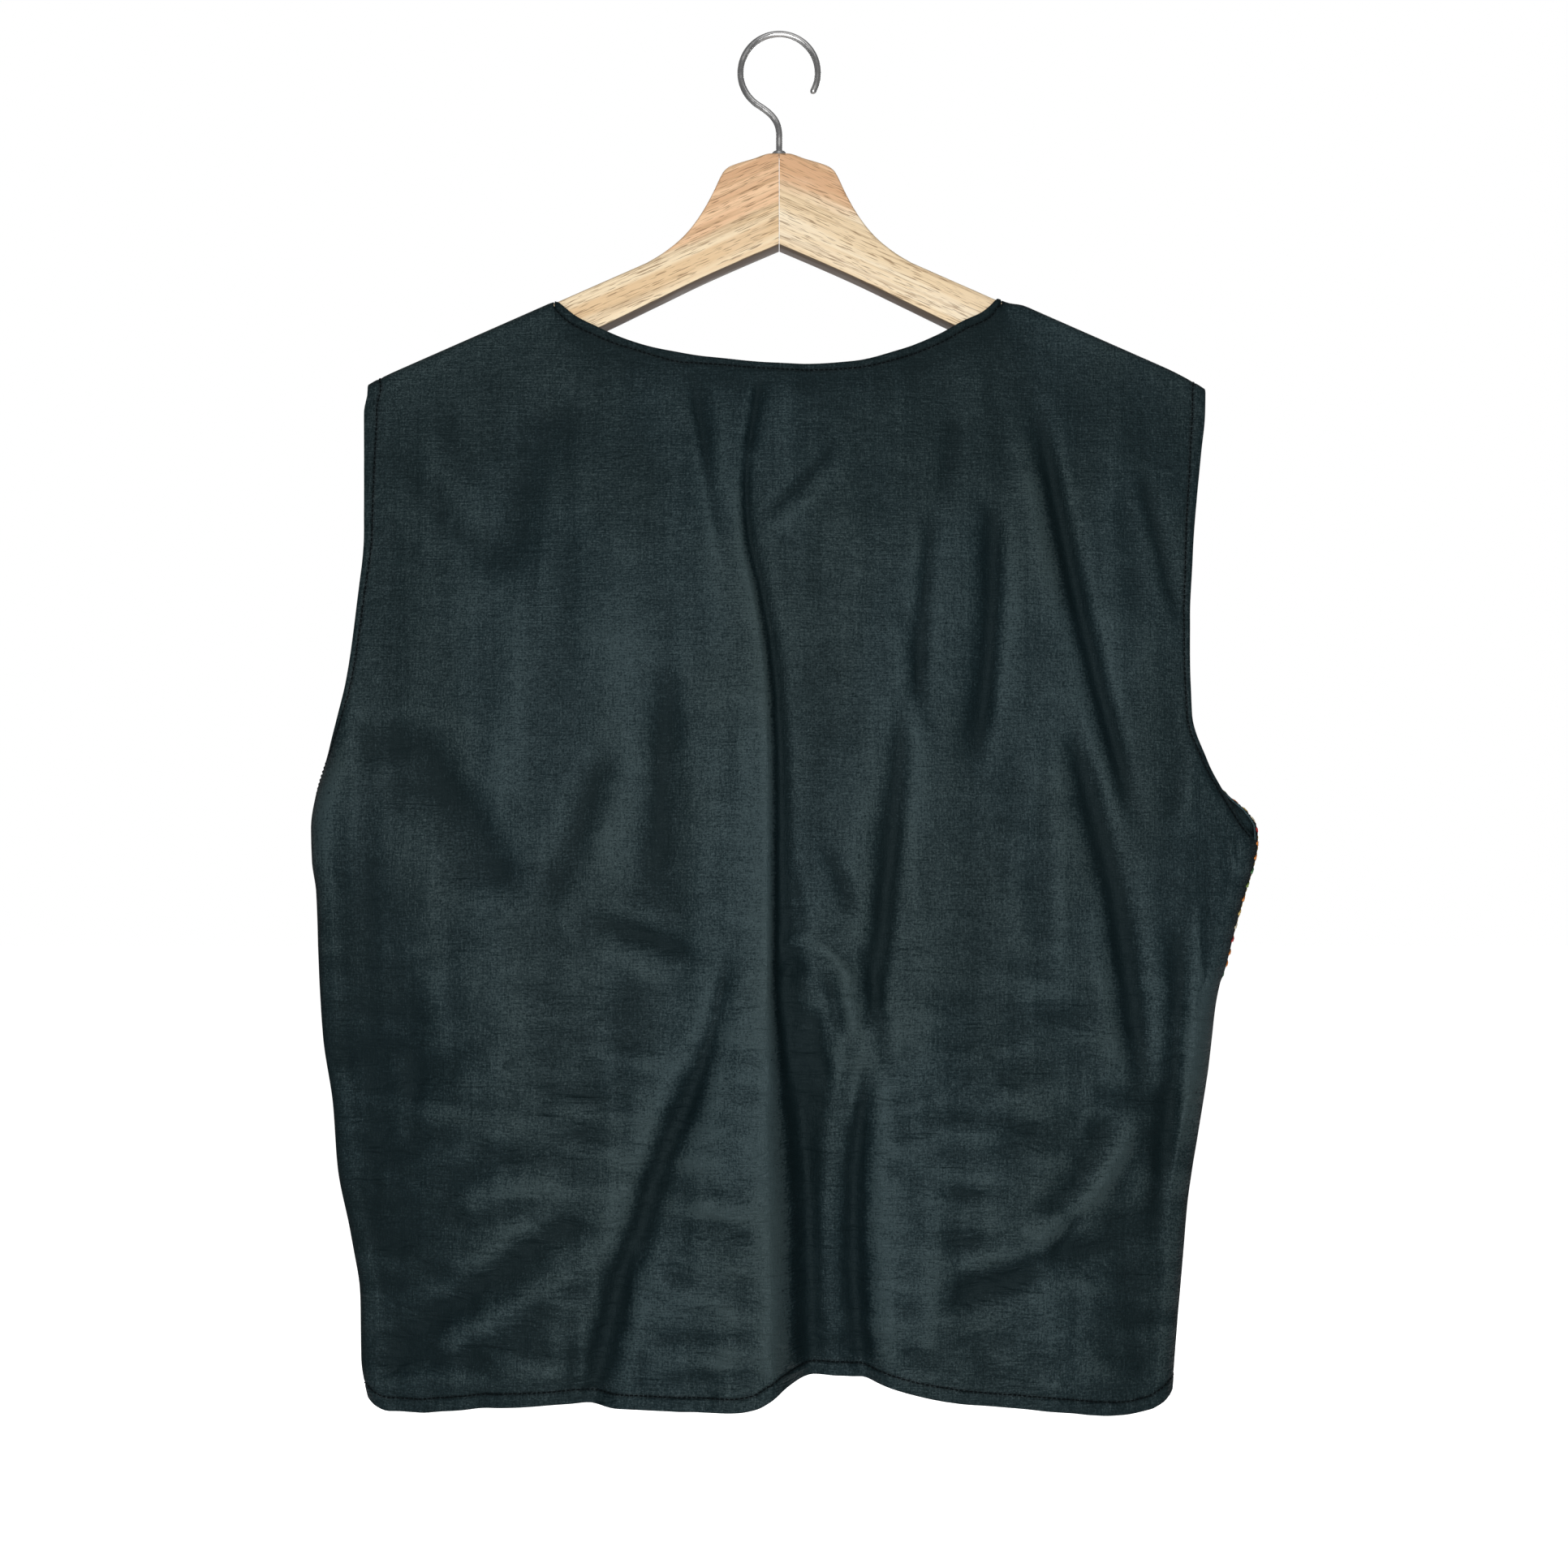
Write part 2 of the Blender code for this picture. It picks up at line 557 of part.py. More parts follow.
def hook(finish, parent):
    """The hook: a round wire along its line, wide at its foot for the collar and rounded at its tip."""
    line = hook_line()
    ahead = np.gradient(line, axis=0)
    ahead[:4] = (0, 1)
    ahead /= np.linalg.norm(ahead, axis=1, keepdims=True)
    radius = np.full(len(line), WIRE_RADIUS)
    radius[:2] = COLLAR_RADIUS
    on, wide = np.array(TIP_DOME).T * WIRE_RADIUS
    line = np.vstack([line, line[-1] + ahead[-1] * on[:, None]])
    ahead = np.vstack([ahead, np.tile(ahead[-1], (len(on), 1))])
    radius = np.concatenate([radius, wide])[:, None]
    turn = np.linspace(0, 2 * math.pi, HOOK_SIDES, endpoint=False)
    x = line[:, :1] - radius * np.cos(turn) * ahead[:, 1:]
    z = line[:, 1:] + radius * np.cos(turn) * ahead[:, :1]
    y = radius * np.sin(turn)
    rings = np.stack([x, y, z], axis=2)
    return add_object("hanger_hook", rings.reshape(-1, 3), skinned_rings(rings), finish, parent)


def main():
    for old in list(bpy.data.objects):
        bpy.data.objects.remove(old, do_unlink=True)
    held = bpy.data.objects.new("vest_on_hanger", None)
    bpy.context.scene.collection.objects.link(held)
    plain_cotton = material("plain_cotton", (0.023, 0.038, 0.044), 0.85)
    embroidered_cotton = material("embroidered_cotton", (0.012, 0.014, 0.016), 0.85)
    pale_wood = material("pale_wood", (0.72, 0.53, 0.34), 0.6)
    steel = material("steel", (0.62, 0.62, 0.62), 0.28, 1.0)
    cloth_wall("back", back_panel(), plain_cotton, held)
    for side in ("left", "right"):
        cloth_wall(f"front_{side}", front_panel(side), embroidered_cotton, held)
        hanger_arm(side, pale_wood, held)
    hook(steel, held)


main()
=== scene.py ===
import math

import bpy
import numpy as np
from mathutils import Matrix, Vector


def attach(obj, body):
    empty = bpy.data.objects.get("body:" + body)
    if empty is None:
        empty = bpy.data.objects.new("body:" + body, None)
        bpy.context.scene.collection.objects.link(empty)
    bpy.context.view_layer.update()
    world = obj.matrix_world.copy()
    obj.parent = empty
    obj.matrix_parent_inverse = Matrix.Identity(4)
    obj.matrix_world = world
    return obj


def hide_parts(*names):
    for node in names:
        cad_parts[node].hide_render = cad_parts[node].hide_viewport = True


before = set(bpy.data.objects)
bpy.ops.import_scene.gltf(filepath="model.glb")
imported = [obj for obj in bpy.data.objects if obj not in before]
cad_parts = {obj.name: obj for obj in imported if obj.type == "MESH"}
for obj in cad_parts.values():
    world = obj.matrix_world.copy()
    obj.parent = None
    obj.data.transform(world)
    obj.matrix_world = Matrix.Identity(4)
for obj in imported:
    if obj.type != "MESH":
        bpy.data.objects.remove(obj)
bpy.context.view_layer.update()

# Finishes, stitching and embroidery of a folk vest on a wooden hanger.
# Sizes below are millimetres in the CAD model's frame: +Z up, -Y out of the vest's back, +Y out of its
# front, and the origin at the top of the hook's inside. Meshes are made in metres. The outlines and the
# main folds are those of the CAD model, on a finer grid, with the small creases, turned edges and stitches
# added.

MM = 0.001
SIGN = {"left": -1, "right": 1}

# Hanger, in its own plane
WOOD_HALF_THICKNESS = 8.0
WOOD_TOP_Z = -67.4
ARM_SLOPE = 0.44
ARM_LINE_X = 74.1
ARM_LINE_Z = -128.7
MITRE_GAP = 0.3
ARM_UNDERSIDE = (
    (0, -118.8), (22, -128.2), (44.4, -138.2), (70, -150.6), (100.5, -165.3), (150, -186.5), (203, -208.4),
    (208.5, -207.0),
)
ARM_NECK = (
    (74.1, -128.7), (66.5, -124.2), (57.9, -117.8), (52.4, -112.6), (47.0, -106.0), (41.6, -97.8),
    (36.4, -88.0), (32.8, -80.4), (31.0, -77.4), (28.2, -75.0), (25.0, -73.6), (14.5, -70.4),
    (4.5, WOOD_TOP_Z), (0, WOOD_TOP_Z),
)
ARM_END_X = 208.5
ARM_END_REACH = 8.5
ARM_END_THINS = 3.0
EDGE_ROUND_TOP = 2.4
EDGE_ROUND_FOOT = 1.0
CORNER_POINTS = 7
# Growth bands, lines, pores and clouds: how each noise is stretched along, through and up, its detail and
# its roughness
WOOD_GRAIN = (
    ((3.5, 40, 120), 2, 0.5), ((12, 200, 620), 3, 0.6), ((110, 700, 1900), 1, 0.5), ((30, 60, 60), 2, 0.5),
)

# Hook
WIRE_RADIUS = 1.8
HOOK_INSIDE_RADIUS = 20.0
HOOK_JOIN_ANGLE = 238
HOOK_TIP_ANGLE = -28
HOOK_STEM_TOP_Z = -55.0
HOOK_BEND_HANDLE = 8.0
SEAT_GAP = 0.3
WIRE_CELLS = 20
SHARP_ANGLE = 40
# The collar and the wire's tip, each row a distance along and a radius, the tip's as shares of the wire's
COLLAR = ((0, 3.65), (0.35, 4.0), (1.75, 4.0), (2.4, 3.4), (2.42, WIRE_RADIUS))
TIP_DOME = ((0.3, 0.96), (0.6, 0.82), (0.82, 0.6), (0.95, 0.34), (0.99, 0.12))

# How the cloth goes over the hanger
CLOTH_HALF = 0.6
CLOTH_OVER_WOOD = 0.5
SHOULDER_DEPTH = 9.5
CREST_DROP = 8.0
CREST_POWER = 4
ARM_COVER = 26.0
NECK_X = 126.4
TIP_DROOP_FROM = 214.0
TIP_DROOP = 0.004
SHOULDER_LIFT = 2.6
SHOULDER_LIFT_BLEND = 12
FULL_DROP = 900.0

# Sides of the vest
TURN_WIDTH = 13.0
SEAM_GAP = 0.16
FREE_EDGE_ANGLE = 68.0
# How far round the side the back's edge lies, each row a height and an angle
BACK_SEAM_ANGLE = {
    "left": ((-768, -20), (-446, -20)),
    "right": ((-768, -8), (-560, -6), (-536, 0), (-524, 22), (-512, 36), (-497, 41), (-446, 42)),
}
ARMPIT_Z = {"left": -446.0, "right": -454.0}
ARMPIT_BLEND = 85.0

# Outlines, each row a height and a half width from the middle
SIDE = {
    "left": (
        (-446, 263.1), (-464, 262.7), (-482, 260.4), (-528, 259.0), (-564, 256.8), (-601, 251.3),
        (-637, 248.6), (-674, 241.3), (-710, 235.8), (-745, 235.3), (-768, 231.0),
    ),
    "right": (
        (-454, 269.0), (-464, 267.4), (-482, 262.0), (-500, 256.8), (-519, 252.0), (-546, 244.8),
        (-583, 240.7), (-619, 235.3), (-655, 229.8), (-692, 226.6), (-728, 223.5), (-768, 220.5),
    ),
}
BACK_ARMHOLE = {
    "left": (
        (-203, 230.0), (-214, 232.0), (-282, 231.5), (-319, 234.8), (-364, 240.6), (-400, 250.9),
        (-428, 260.4),
    ),
    "right": (
        (-203, 238.2), (-214, 238.0), (-237, 235.6), (-291, 230.4), (-346, 228.0), (-382, 229.2),
        (-409, 238.2), (-428, 248.8), (-444, 259.0),
    ),
}
FRONT_ARMHOLE = {
    "left": (
        (-203, 230.0), (-219, 228.0), (-260, 218.0), (-310, 209.5), (-350, 211.0), (-385, 222.0),
        (-410, 237.0), (-430, 252.5),
    ),
    "right": (
        (-203, 238.2), (-219, 235.0), (-260, 222.0), (-310, 212.5), (-350, 212.5), (-385, 222.5),
        (-410, 237.0), (-428, 252.5), (-437, 263.0), (-446, 268.6),
    ),
}
BACK_NECK = (
    (-126.5, -150.6), (-124.2, -151.4), (-121.8, -153.2), (-119.5, -155.2), (-113, -160.2), (-103, -165.2),
    (-86, -172.6), (-68, -178.0), (-41, -182.5), (12, -187.1), (41, -185.3), (68, -178.4), (89, -170.0),
    (103, -162.4), (113, -157.8), (119.5, -152.4), (121.8, -149.8), (124.2, -149.8), (126.5, -150.6),
)
BACK_HEM = (
    (-232, -764.5), (-226, -769.5), (-218, -771.6), (-200, -771.4), (-187, -769.4), (-174, -767.6),
    (-160, -765.4), (-115, -762.9),
    (-85, -764.4), (-60, -764.2), (-38, -763.6), (-22, -762.8), (-12, -760.6), (-4, -756.0), (4, -751.2),
    (14, -749.4), (26, -748.9), (45, -750.6), (75, -758.0), (110, -763.2), (150, -766.4), (190, -770.8),
    (206, -768.4), (213, -765.4), (220, -760.0),
)
FRONT_EDGE = (
    (-150.6, 126.5), (-175, 113), (-215, 88.5), (-262, 57), (-306, 28), (-340, 8.5), (-358, 3.2),
    (-380, 2.2), (-500, 3.4), (-640, 6.0), (-766, 9.0),
)
FRONT_HEM_Z = -758.0
FRONT_HEM_SIDE_Z = {"left": -767.0, "right": -766.5}
FRONT_CORNER_RISE = 24.0
FRONT_CORNER_WIDTH = 17.0
FRONT_HEM_FALL_FROM = 0.55

# The deep crease down the middle of the back: a ridge to its left, and a trough to its right
# Columns: height, place across, ridge depth, ridge width, trough depth, trough width, trough's distance
CREASE = (
    (-205, -12.0, 0.0, 30, 0.0, 7, 0.0),
    (-232, -19.0, 0.6, 30, 1.2, 5, 0.5),
    (-262, -20.0, 2.0, 32, 1.7, 6, 0.5),
    (-284, -18.6, 2.9, 32, 2.1, 7, 1.0),
    (-313, -12.6, 3.8, 34, 2.4, 7, 1.5),
    (-348, -6.6, 4.8, 36, 2.8, 5.5, 1.6),
    (-380, -3.8, 5.4, 38, 3.1, 5.5, 1.8),
    (-436, -2.8, 6.2, 42, 3.4, 6, 2.0),
    (-524, -3.0, 7.4, 46, 4.8, 12, 5.0),
    (-575, -3.2, 8.2, 48, 7.4, 20, 10.0),
    (-612, -4.4, 8.8, 50, 10.5, 27, 15.0),
    (-700, -3.4, 11.0, 54, 13.0, 33, 21.0),
    (-766, -3.0, 13.0, 56, 15.5, 35, 25.0),
)
CREASE_HALF_STEP = 3.0
CREASE_LOW_STEP = 10.0
CREASE_WIDENS = (-520, -660)
FADE = 0.26
SMALL_FADES_IN = (-0.15, 0.35)
SMALL_FADES_OUT = (0.65, 1.15)

# Main folds, a row for each: where it starts, bends and ends, its half width to the left and to the right,
# and its depth (- is a trough). One that ends lower than OFF_HEM_Z runs off the hem
OFF_HEM_Z = -750
BACK_FOLDS = (
    (-26, -500, -40, -570, -60, -630, 4, 6, -2.6),
    (-30, -540, -74, -655, -104, -766, 7, 9, -6.4),
    (-88, -670, -98, -710, -112, -766, 18, 8, -3.4),
    (-62, -540, -92, -650, -136, -766, 16, 20, 2.4),
    (-222, -376, -178, -430, -148, -496, 28, 13, -4.2),
    (-250, -430, -244, -610, -238, -766, 30, 66, -6.5),
    (-246, -510, -240, -650, -236, -766, 30, 62, -6.5),
    (242, -560, 238, -660, 232, -766, 58, 30, -9.0),
    (-96, -300, -96, -400, -110, -500, 34, 28, 3.0),
    (-60, -350, -65, -420, -73, -500, 9, 10, -2.3),
    (-92, -392, -110, -445, -132, -500, 9, 10, -2.8),
    (-128, -190, -136, -252, -168, -318, 16, 20, -2.8),
    (-50, -188, -42, -232, -29, -304, 2.6, 7, -2.6),
    (-11, -192, -14, -212, -18, -240, 2.2, 5, -2.6),
    (-18, -236, -19, -262, -16, -296, 1.6, 2.4, -1.2),
    (86, -258, 80, -322, 74, -386, 4, 5, -2.4),
    (71, -350, 62, -460, 44, -590, 6, 5, -3.4),
    (60, -420, 56, -500, 50, -560, 12, 8, -1.8),
    (118, -250, 118, -318, 107, -420, 9, 6, -5.0),
    (143, -196, 162, -300, 200, -452, 6.5, 6, -6.0),
    (156, -370, 179, -455, 203, -610, 8, 8.5, -6.4),
    (146, -415, 146, -470, 143, -545, 10, 10, -1.6),
    (200, -240, 212, -290, 224, -338, 4, 6, -2.0),
    (222, -485, 219, -570, 207, -690, 8, 7, -4.0),
    (180, -596, 164, -640, 138, -672, 9, 9, -2.6),
    (50, -565, 42, -655, 50, -766, 5.5, 7, -5.4),
    (28, -590, 26, -680, 30, -766, 8, 8, 4.0),
    (104, -655, 110, -700, 118, -766, 16, 16, -2.2),
)
FRONT_FOLDS = {
    "left": (
        (-150, -235, -162, -380, -148, -560, 15, 13, -5.0),
        (-78, -330, -92, -520, -104, -757, 16, 18, -6.4),
        (-190, -470, -182, -610, -172, -757, 18, 16, -5.4),
        (-40, -460, -46, -600, -50, -757, 16, 16, 4.0),
    ),
    "right": (
        (146, -235, 160, -370, 152, -540, 14, 15, -5.2),
        (70, -340, 82, -520, 96, -757, 18, 16, -6.4),
        (196, -480, 184, -610, 166, -757, 18, 16, -5.4),
        (36, -470, 42, -600, 50, -757, 16, 16, 3.6),
    ),
}

# Small creases of the back, a row for each: its two ends, how far it bows, its half width and its depth
BACK_CREASES = (
    (32, -230, -10, -274, 2, 2.2, -2.0),
    (38, -239, -4, -282, 2, 5.0, 1.2),
    (-34, -226, -26, -300, -3, 7.0, 1.4),
    (-222, -222, -150, -304, -6, 10.0, -1.5),
    (-196, -206, -170, -262, 4, 9.0, -1.2),
    (67, -318, 82, -395, 2, 4.5, -1.4),
    (47, -512, 59, -580, 2, 4.0, -2.4),
    (36, -520, 46, -566, -2, 4.5, 1.8),
    (24, -455, 42, -495, 2, 4.0, -1.8),
    (-104, -496, -42, -518, 2, 6.0, -2.6),
    (-106, -511, -60, -532, 2, 7.0, 1.6),
    (0, -514, 18, -508, 4, 3.0, 2.2),
    (18, -508, 40, -532, 3, 3.0, 2.4),
    (2, -528, 16, -522, 3, 3.4, -2.2),
    (24, -524, 34, -562, 2, 3.4, -2.2),
    (8, -470, 14, -505, 1, 2.6, -1.2),
    (20, -540, 28, -590, -2, 3.4, -2.0),
    (34, -552, 28, -604, 1, 3.0, 1.8),
    (48, -560, 40, -616, -2, 3.0, 1.8),
    (10, -548, 8, -600, 1, 3.0, 1.4),
    (229, -500, 225, -640, 2, 5.0, 1.4),
    (198, -604, 168, -652, 4, 6.0, 3.0),
    (178, -650, 138, -674, -2, 6.0, 2.4),
    (86, -712, 218, -664, 4, 10.0, -4.2),
    (168, -656, 150, -684, 0, 4.0, -2.0),
    (-101, -684, -102, -718, 0, 2.6, 1.2),
    (-113, -724, -113, -762, 0, 2.6, -1.4),
    (-79, -666, -79, -728, 0, 3.4, 1.4),
    (-76, -728, -77, -764, 0, 2.6, -1.2),
    (-214, -744, -150, -740, 2, 8.0, -2.6),
    (-228, -752, -92, -652, 6, 9.0, -3.0),
    (-196, -742, -110, -690, 3, 7.0, 2.2),
    (-190, -712, -120, -650, 5, 9.0, 1.8),
    (88, -694, 150, -678, 4, 7.0, 1.6),
    (92, -640, 128, -646, -4, 3.4, -1.6),
    (66, -728, 92, -744, -3, 7.0, -2.0),
    (118, -738, 142, -742, 2, 8.0, 1.6),
    (-72, -728, -16, -724, 3, 4.0, -1.4),
    (-70, -739, -22, -737, -2, 4.0, 1.2),
    (-66, -748, -20, -744, 2, 4.0, -1.2),
    (-50, -662, -14, -672, 3, 5.0, -1.5),
    (-52, -652, -20, -658, 2, 6.0, 1.6),
    (-66, -688, -22, -702, -3, 6.0, -1.4),
    (-58, -700, -20, -712, 3, 6.0, 1.4),
    (-176, -655, -110, -640, 4, 8.0, 1.6),
    (-186, -640, -120, -622, 4, 8.0, -1.6),
    (-90, -615, -40, -628, 3, 7.0, 1.2),
    (-214, -596, -168, -570, 3, 10.0, -1.4),
    (-232, -420, -180, -404, 3, 10.0, 1.2),
    (118, -560, 190, -548, 3, 9.0, -1.4),
    (112, -600, 176, -592, 4, 8.0, 1.4),
    (104, -628, 170, -622, 3, 6.0, -1.4),
    (100, -498, 230, -502, 1, 2.4, 0.5),
    (96, -210, 90, -262, 2, 6.0, -1.4),
    (134, -225, 150, -330, 2, 7.0, 1.8),
    (-120, -270, -118, -360, 2, 11.0, -1.4),
    (-146, -300, -150, -420, 3, 10.0, 1.4),
    (190, -250, 200, -340, 2, 9.0, -1.6),
    (222, -418, 214, -444, 1, 4.0, -1.2),
    (229, -398, 226, -442, 1, 1.8, 0.8),
    (232, -486, 237, -545, -2, 1.4, 1.1),
    (250, -482, 240, -540, 1, 1.6, 1.1),
    (250, -440, 255, -478, -1, 1.4, 0.9),
    (249, -426, 263, -454, 0, 1.2, 0.9),
    (225, -560, 221, -660, 2, 2.6, 1.4),
    (232, -560, 229, -620, 1, 2.2, 1.0),
)
FRONT_CREASES = (
    (40, -372, 84, -392, 3, 6.0, -1.4),
    (60, -300, 96, -262, 3, 7.0, -1.6),
    (150, -420, 214, -404, 3, 8.0, -1.6),
    (120, -560, 190, -548, 4, 9.0, 1.4),
    (30, -600, 74, -612, 3, 7.0, -1.2),
    (96, -690, 160, -676, 4, 9.0, -1.8),
    (176, -700, 214, -716, 3, 8.0, 1.6),
    (200, -540, 232, -520, 3, 6.0, -1.6),
    (206, -450, 236, -474, 3, 6.0, 1.6),
)

BACK_FULLNESS = ((0, 0.0), (26, 0.0), (190, 12.5), (420, 15.5), (620, 17.5))
FRONT_FULLNESS = ((0, 0.0), (26, 0.0), (190, 9.0), (420, 12.0), (620, 14.0))
SIDE_LOSS = 0.5
SIDE_LOSS_X = 250.0
FOLDS_GROW = 40.0
# Small relief: how much of the back's starts just under its shoulders, where the wrinkles begin and where
# they are full, and the seeds of the random relief
SMALL_AT_SHOULDER = 0.35
SOFT_FROM = 4
WRINKLES_FROM, WRINKLES_FULL = -430, -640
SEEDS = {"back": 11, "left": 31, "right": 51}
LATTICE = 97
# Random relief: how x leans with z and z with x, the steps across and down, its height, and how much more
# there is low down. Upright ripples, broad waves, wrinkles that lie across, lumps, dents and fine wrinkles
CRUMPLE = (
    (0.05, 0, 15, 95, 0.6, 0),
    (0, 0, 8, 60, 0.26, 0),
    (0, 0, 46, 80, 1.5, 0),
    (0, 0.12, 40, 11, 0.16, 0.66),
    (0, 0, 11, 9, 0.12, 0.20),
    (0.2, 0.15, 30, 17, -0.25, -0.55),
    (0, -0.08, 26, 7.5, 0.05, 0.30),
)

# Grids
BACK_CELLS = 196
FRONT_CELLS = 96
# Where the columns lie closer, each a place, how much closer and how far that reaches
BACK_FLAT = (-225.0, 233.3)
BACK_FOCUS = (
    (BACK_FLAT[0], 1.6, 9), (-121, 0.8, 9), (-42, 0.5, 10), (-8, 1.3, 17), (121, 0.8, 9), (168, 0.3, 24),
    (BACK_FLAT[1], 1.6, 9),
)
FRONT_FOCUS = ((0, 1.6, 0.05), (1, 1.2, 0.04))
ARM_CELLS = 150
ARM_FOCUS = ((30, 3.0, 10), (MITRE_GAP / 2, 2.0, 6))
TURN_CELLS = 10
BODY_ROWS = 188
BAND_ROWS = 14
BAND_STEP = 0.8

# Turned edges and their stitching
BAND_RISE = 0.2
BAND_SOFTNESS = 2.2
GROOVE = 0.34
GROOVE_WIDTH = 1.1
STITCH_PITCH = 2.7
STITCH_SHARE = 0.7
STITCH_WIDTH = 0.85
STITCH_HEIGHT = 0.6
STITCH_LIFT = 0.1
RIM_BULGE = 0.6
SEAM_SHADE_WIDTH = 1.0
NECK_SHADE = 0.5
NECK_SHADE_WIDTH = 12
# How strongly the relief paints the cotton's colour: painted shade in the hollows, and paler ridges that are
# partly wash fading and partly painted highlight
RELIEF_SHADE_AND_FADE = 0.9
# How far the cloth stands proud of its surroundings, from which the finish paints shade into the hollows and
# paler colour onto the ridges: their reach in cells, the height that counts in full, and its share
RELIEF_SCALES = ((4, 1.2, 0.45), (13, 6, 1))
RELIEF_PAST_BAND = (-2, 10)
OVER_SHOULDER = (40, 20)

# Painted shade (+) and painted highlight (-) in the back's colour: the middle, how far it reaches across
# and down, and how much
PAINTED_SHADE_AND_HIGHLIGHT = (
    (124, -168, 24, 20, 0.45),
    (-180, -235, 60, 40, 0.2),
    (190, -225, 50, 40, 0.2),
    (-238, -490, 34, 80, 0.45),
    (-214, -668, 50, 90, 0.6),
    (-138, -722, 40, 34, 0.5),
    (214, -690, 30, 80, 0.35),
    (222, -490, 30, 90, 0.2),
    (-30, -400, 26, 110, -0.3),
    (-30, -680, 26, 80, -0.35),
    (-42, -570, 24, 40, -0.3),
    (-115, -330, 60, 70, -0.14),
)

# The cotton's patterns: how each noise is stretched and shifted, its scale, detail and roughness, and its
# share in the tone
WEAVE = {
    "cloud": ((1, 1, 1), (0, 0, 0), 26, 3, 0.6, 0.5),
    "wash": ((1, 1, 1.6), (3, 1, 2), 80, 2, 0.6, 0.4),
    "weft": ((150, 60, 1300), (0, 0, 0), 1, 2, 0.62, 1.5),
    "weft_long": ((34, 40, 800), (5, 2, 9), 1, 2, 0.6, 0.6),
    "warp": ((1250, 60, 190), (1, 7, 4), 1, 2, 0.6, 1.4),
    "warp_long": ((420, 60, 16), (6, 3, 1), 1, 2, 0.6, 0.7),
    "grain": ((1, 1, 1.15), (8, 8, 8), 760, 2, 0.65, 3.2),
}

# Cottons: deep, middle and pale colour, the wrong side's paler colour (painted light), roughness and gloss
PLAIN_COTTON = (
    (0.0030, 0.0080, 0.0098), (0.0078, 0.0160, 0.0190), (0.0270, 0.0430, 0.0470), (0.020, 0.034, 0.038), 0.38,
    0.145,
)
BLACK_COTTON = (
    (0.0035, 0.0050, 0.0062), (0.0060, 0.0085, 0.0100), (0.0120, 0.0155, 0.0175), (0.050, 0.085, 0.095), 0.5,
    0.11,
)

# Topstitching: how far in it runs from each edge, and round the armholes, each row a height and a distance
NECK_LINE = (
    (-126, 4.8), (-100, 4.6), (-78, 3.9), (-56, 5.2), (-44, 4.0), (-4, 3.3), (40, 3.8), (80, 4.6), (126, 4.4),
)
HEM_LINE = 7.4
ARMHOLE_LINE = ((-800, 3.2), (-420, 3.2), (-330, 3.6), (-250, 5.5), (-214, 7.2), (-150, 7.2))
DARK_THREAD = (0.0025, 0.0045, 0.0055)
THREAD_SIDES = 5
THREAD_TURN = 0.3
THREAD_TAPER = 0.93
THREAD_ARCH = 0.35
THREAD_LIFT = 0.2
FRONT_STITCH_ROW = 4
FAR = 99

# Embroidery
THREAD = {
    "red": (0.50, 0.025, 0.025),
    "orange": (0.80, 0.27, 0.045),
    "gold": (0.80, 0.58, 0.20),
    "cream": (0.80, 0.72, 0.52),
    "green": (0.075, 0.24, 0.085),
    "lime": (0.32, 0.45, 0.11),
    "pink": (0.70, 0.16, 0.24),
    "blue": (0.06, 0.13, 0.40),
}
# Width and height of each kind of stitch
STRAND = {
    "satin": (1.35, 0.75),
    "inner_satin": (1.35, 0.9375),
    "stem": (1.3, 0.8),
    "heart_knot": (2.1, 1.9),
    "chain": (0.8, 0.6),
    "vine": (1.0, 0.7),
    "vine_petal": (1.5, 0.9),
    "vine_knot": (1.9, 1.6),
    "vine_leaf": (1.5, 0.8),
    "row": (1.3, 0.9),
}
SATIN_STEP = 1.2
KNOT_STEP = 2.3
KNOT_SIZE = 1.9
STEM_PITCH = 2.6
STEM_REACH = 2.1
STEM_SLANT = 0.25
CHAIN_BOW = 0.75
LEAF_LEAN = 0.14
LATTICE_STEP = 2.0
PATTERN_HEIGHTS = (-156.0, -772.0)
PATTERN_WIDTH = 300.0
# Where the borders start down the front edge and the side, and stop over the hem and at its ends
FRONT_EDGE_FROM = 8
SIDE_EDGE_FROM = 28
HEM_CLEAR = 3
HEM_ENDS = 8
BORDER_SMOOTH = 6
CHAIN_AT = 10.0
CHAIN_PITCH = 3.0
VINE_AT = 19.5
VINE_SWING = 4.5
VINE_WAVE = 40.0
VINE_ENDS = 6
# A vine flower: its inner and outer radius and petals, how far out it sits, its middle, and its colours
VINE_FLOWER = (1.4, 5.6, 5)
VINE_FLOWER_OUT = 2.2
VINE_HEART = 1.5
VINE_COLOURS = (("orange", "cream"), ("red", "cream"), ("gold", "red"), ("pink", "cream"))
# A pair of vine leaves: length and width, how far past the flower they start, and their lean
VINE_LEAF = (8.5, 4.6)
VINE_LEAF_ON = 10
VINE_LEAF_LEAN = 0.75
EDGE_ROW_AT = 4.2
SIDE_ROW_AT = 2.1
EDGE_ROW_REACH = (1.1, 1.9)
SIDE_ROW_REACH = (1.3, 2.0)
EDGE_ROW_PITCH = 8.0
EDGE_ROW_SPREAD = (0.6, 1.6)
EDGE_ROW_COLOURS = ("cream", "red", "orange", "orange", "green", "lime", "orange", "gold")

# Big flowers: half width, height, radius, petals, and the colours of petals, inner ring and middle
FLOWERS = (
    (116, -356, 31, 8, "red", "pink", "gold"),
    (76, -408, 18, 6, "orange", "gold", "red"),
    (164, -412, 18, 6, "orange", "gold", "red"),
    (108, -604, 34, 8, "red", "orange", "gold"),
    (172, -560, 19, 6, "gold", "cream", "red"),
    (58, -548, 19, 6, "pink", "cream", "gold"),
    (176, -668, 17, 6, "orange", "gold", "red"),
    (60, -676, 16, 5, "blue", "cream", "gold"),
)
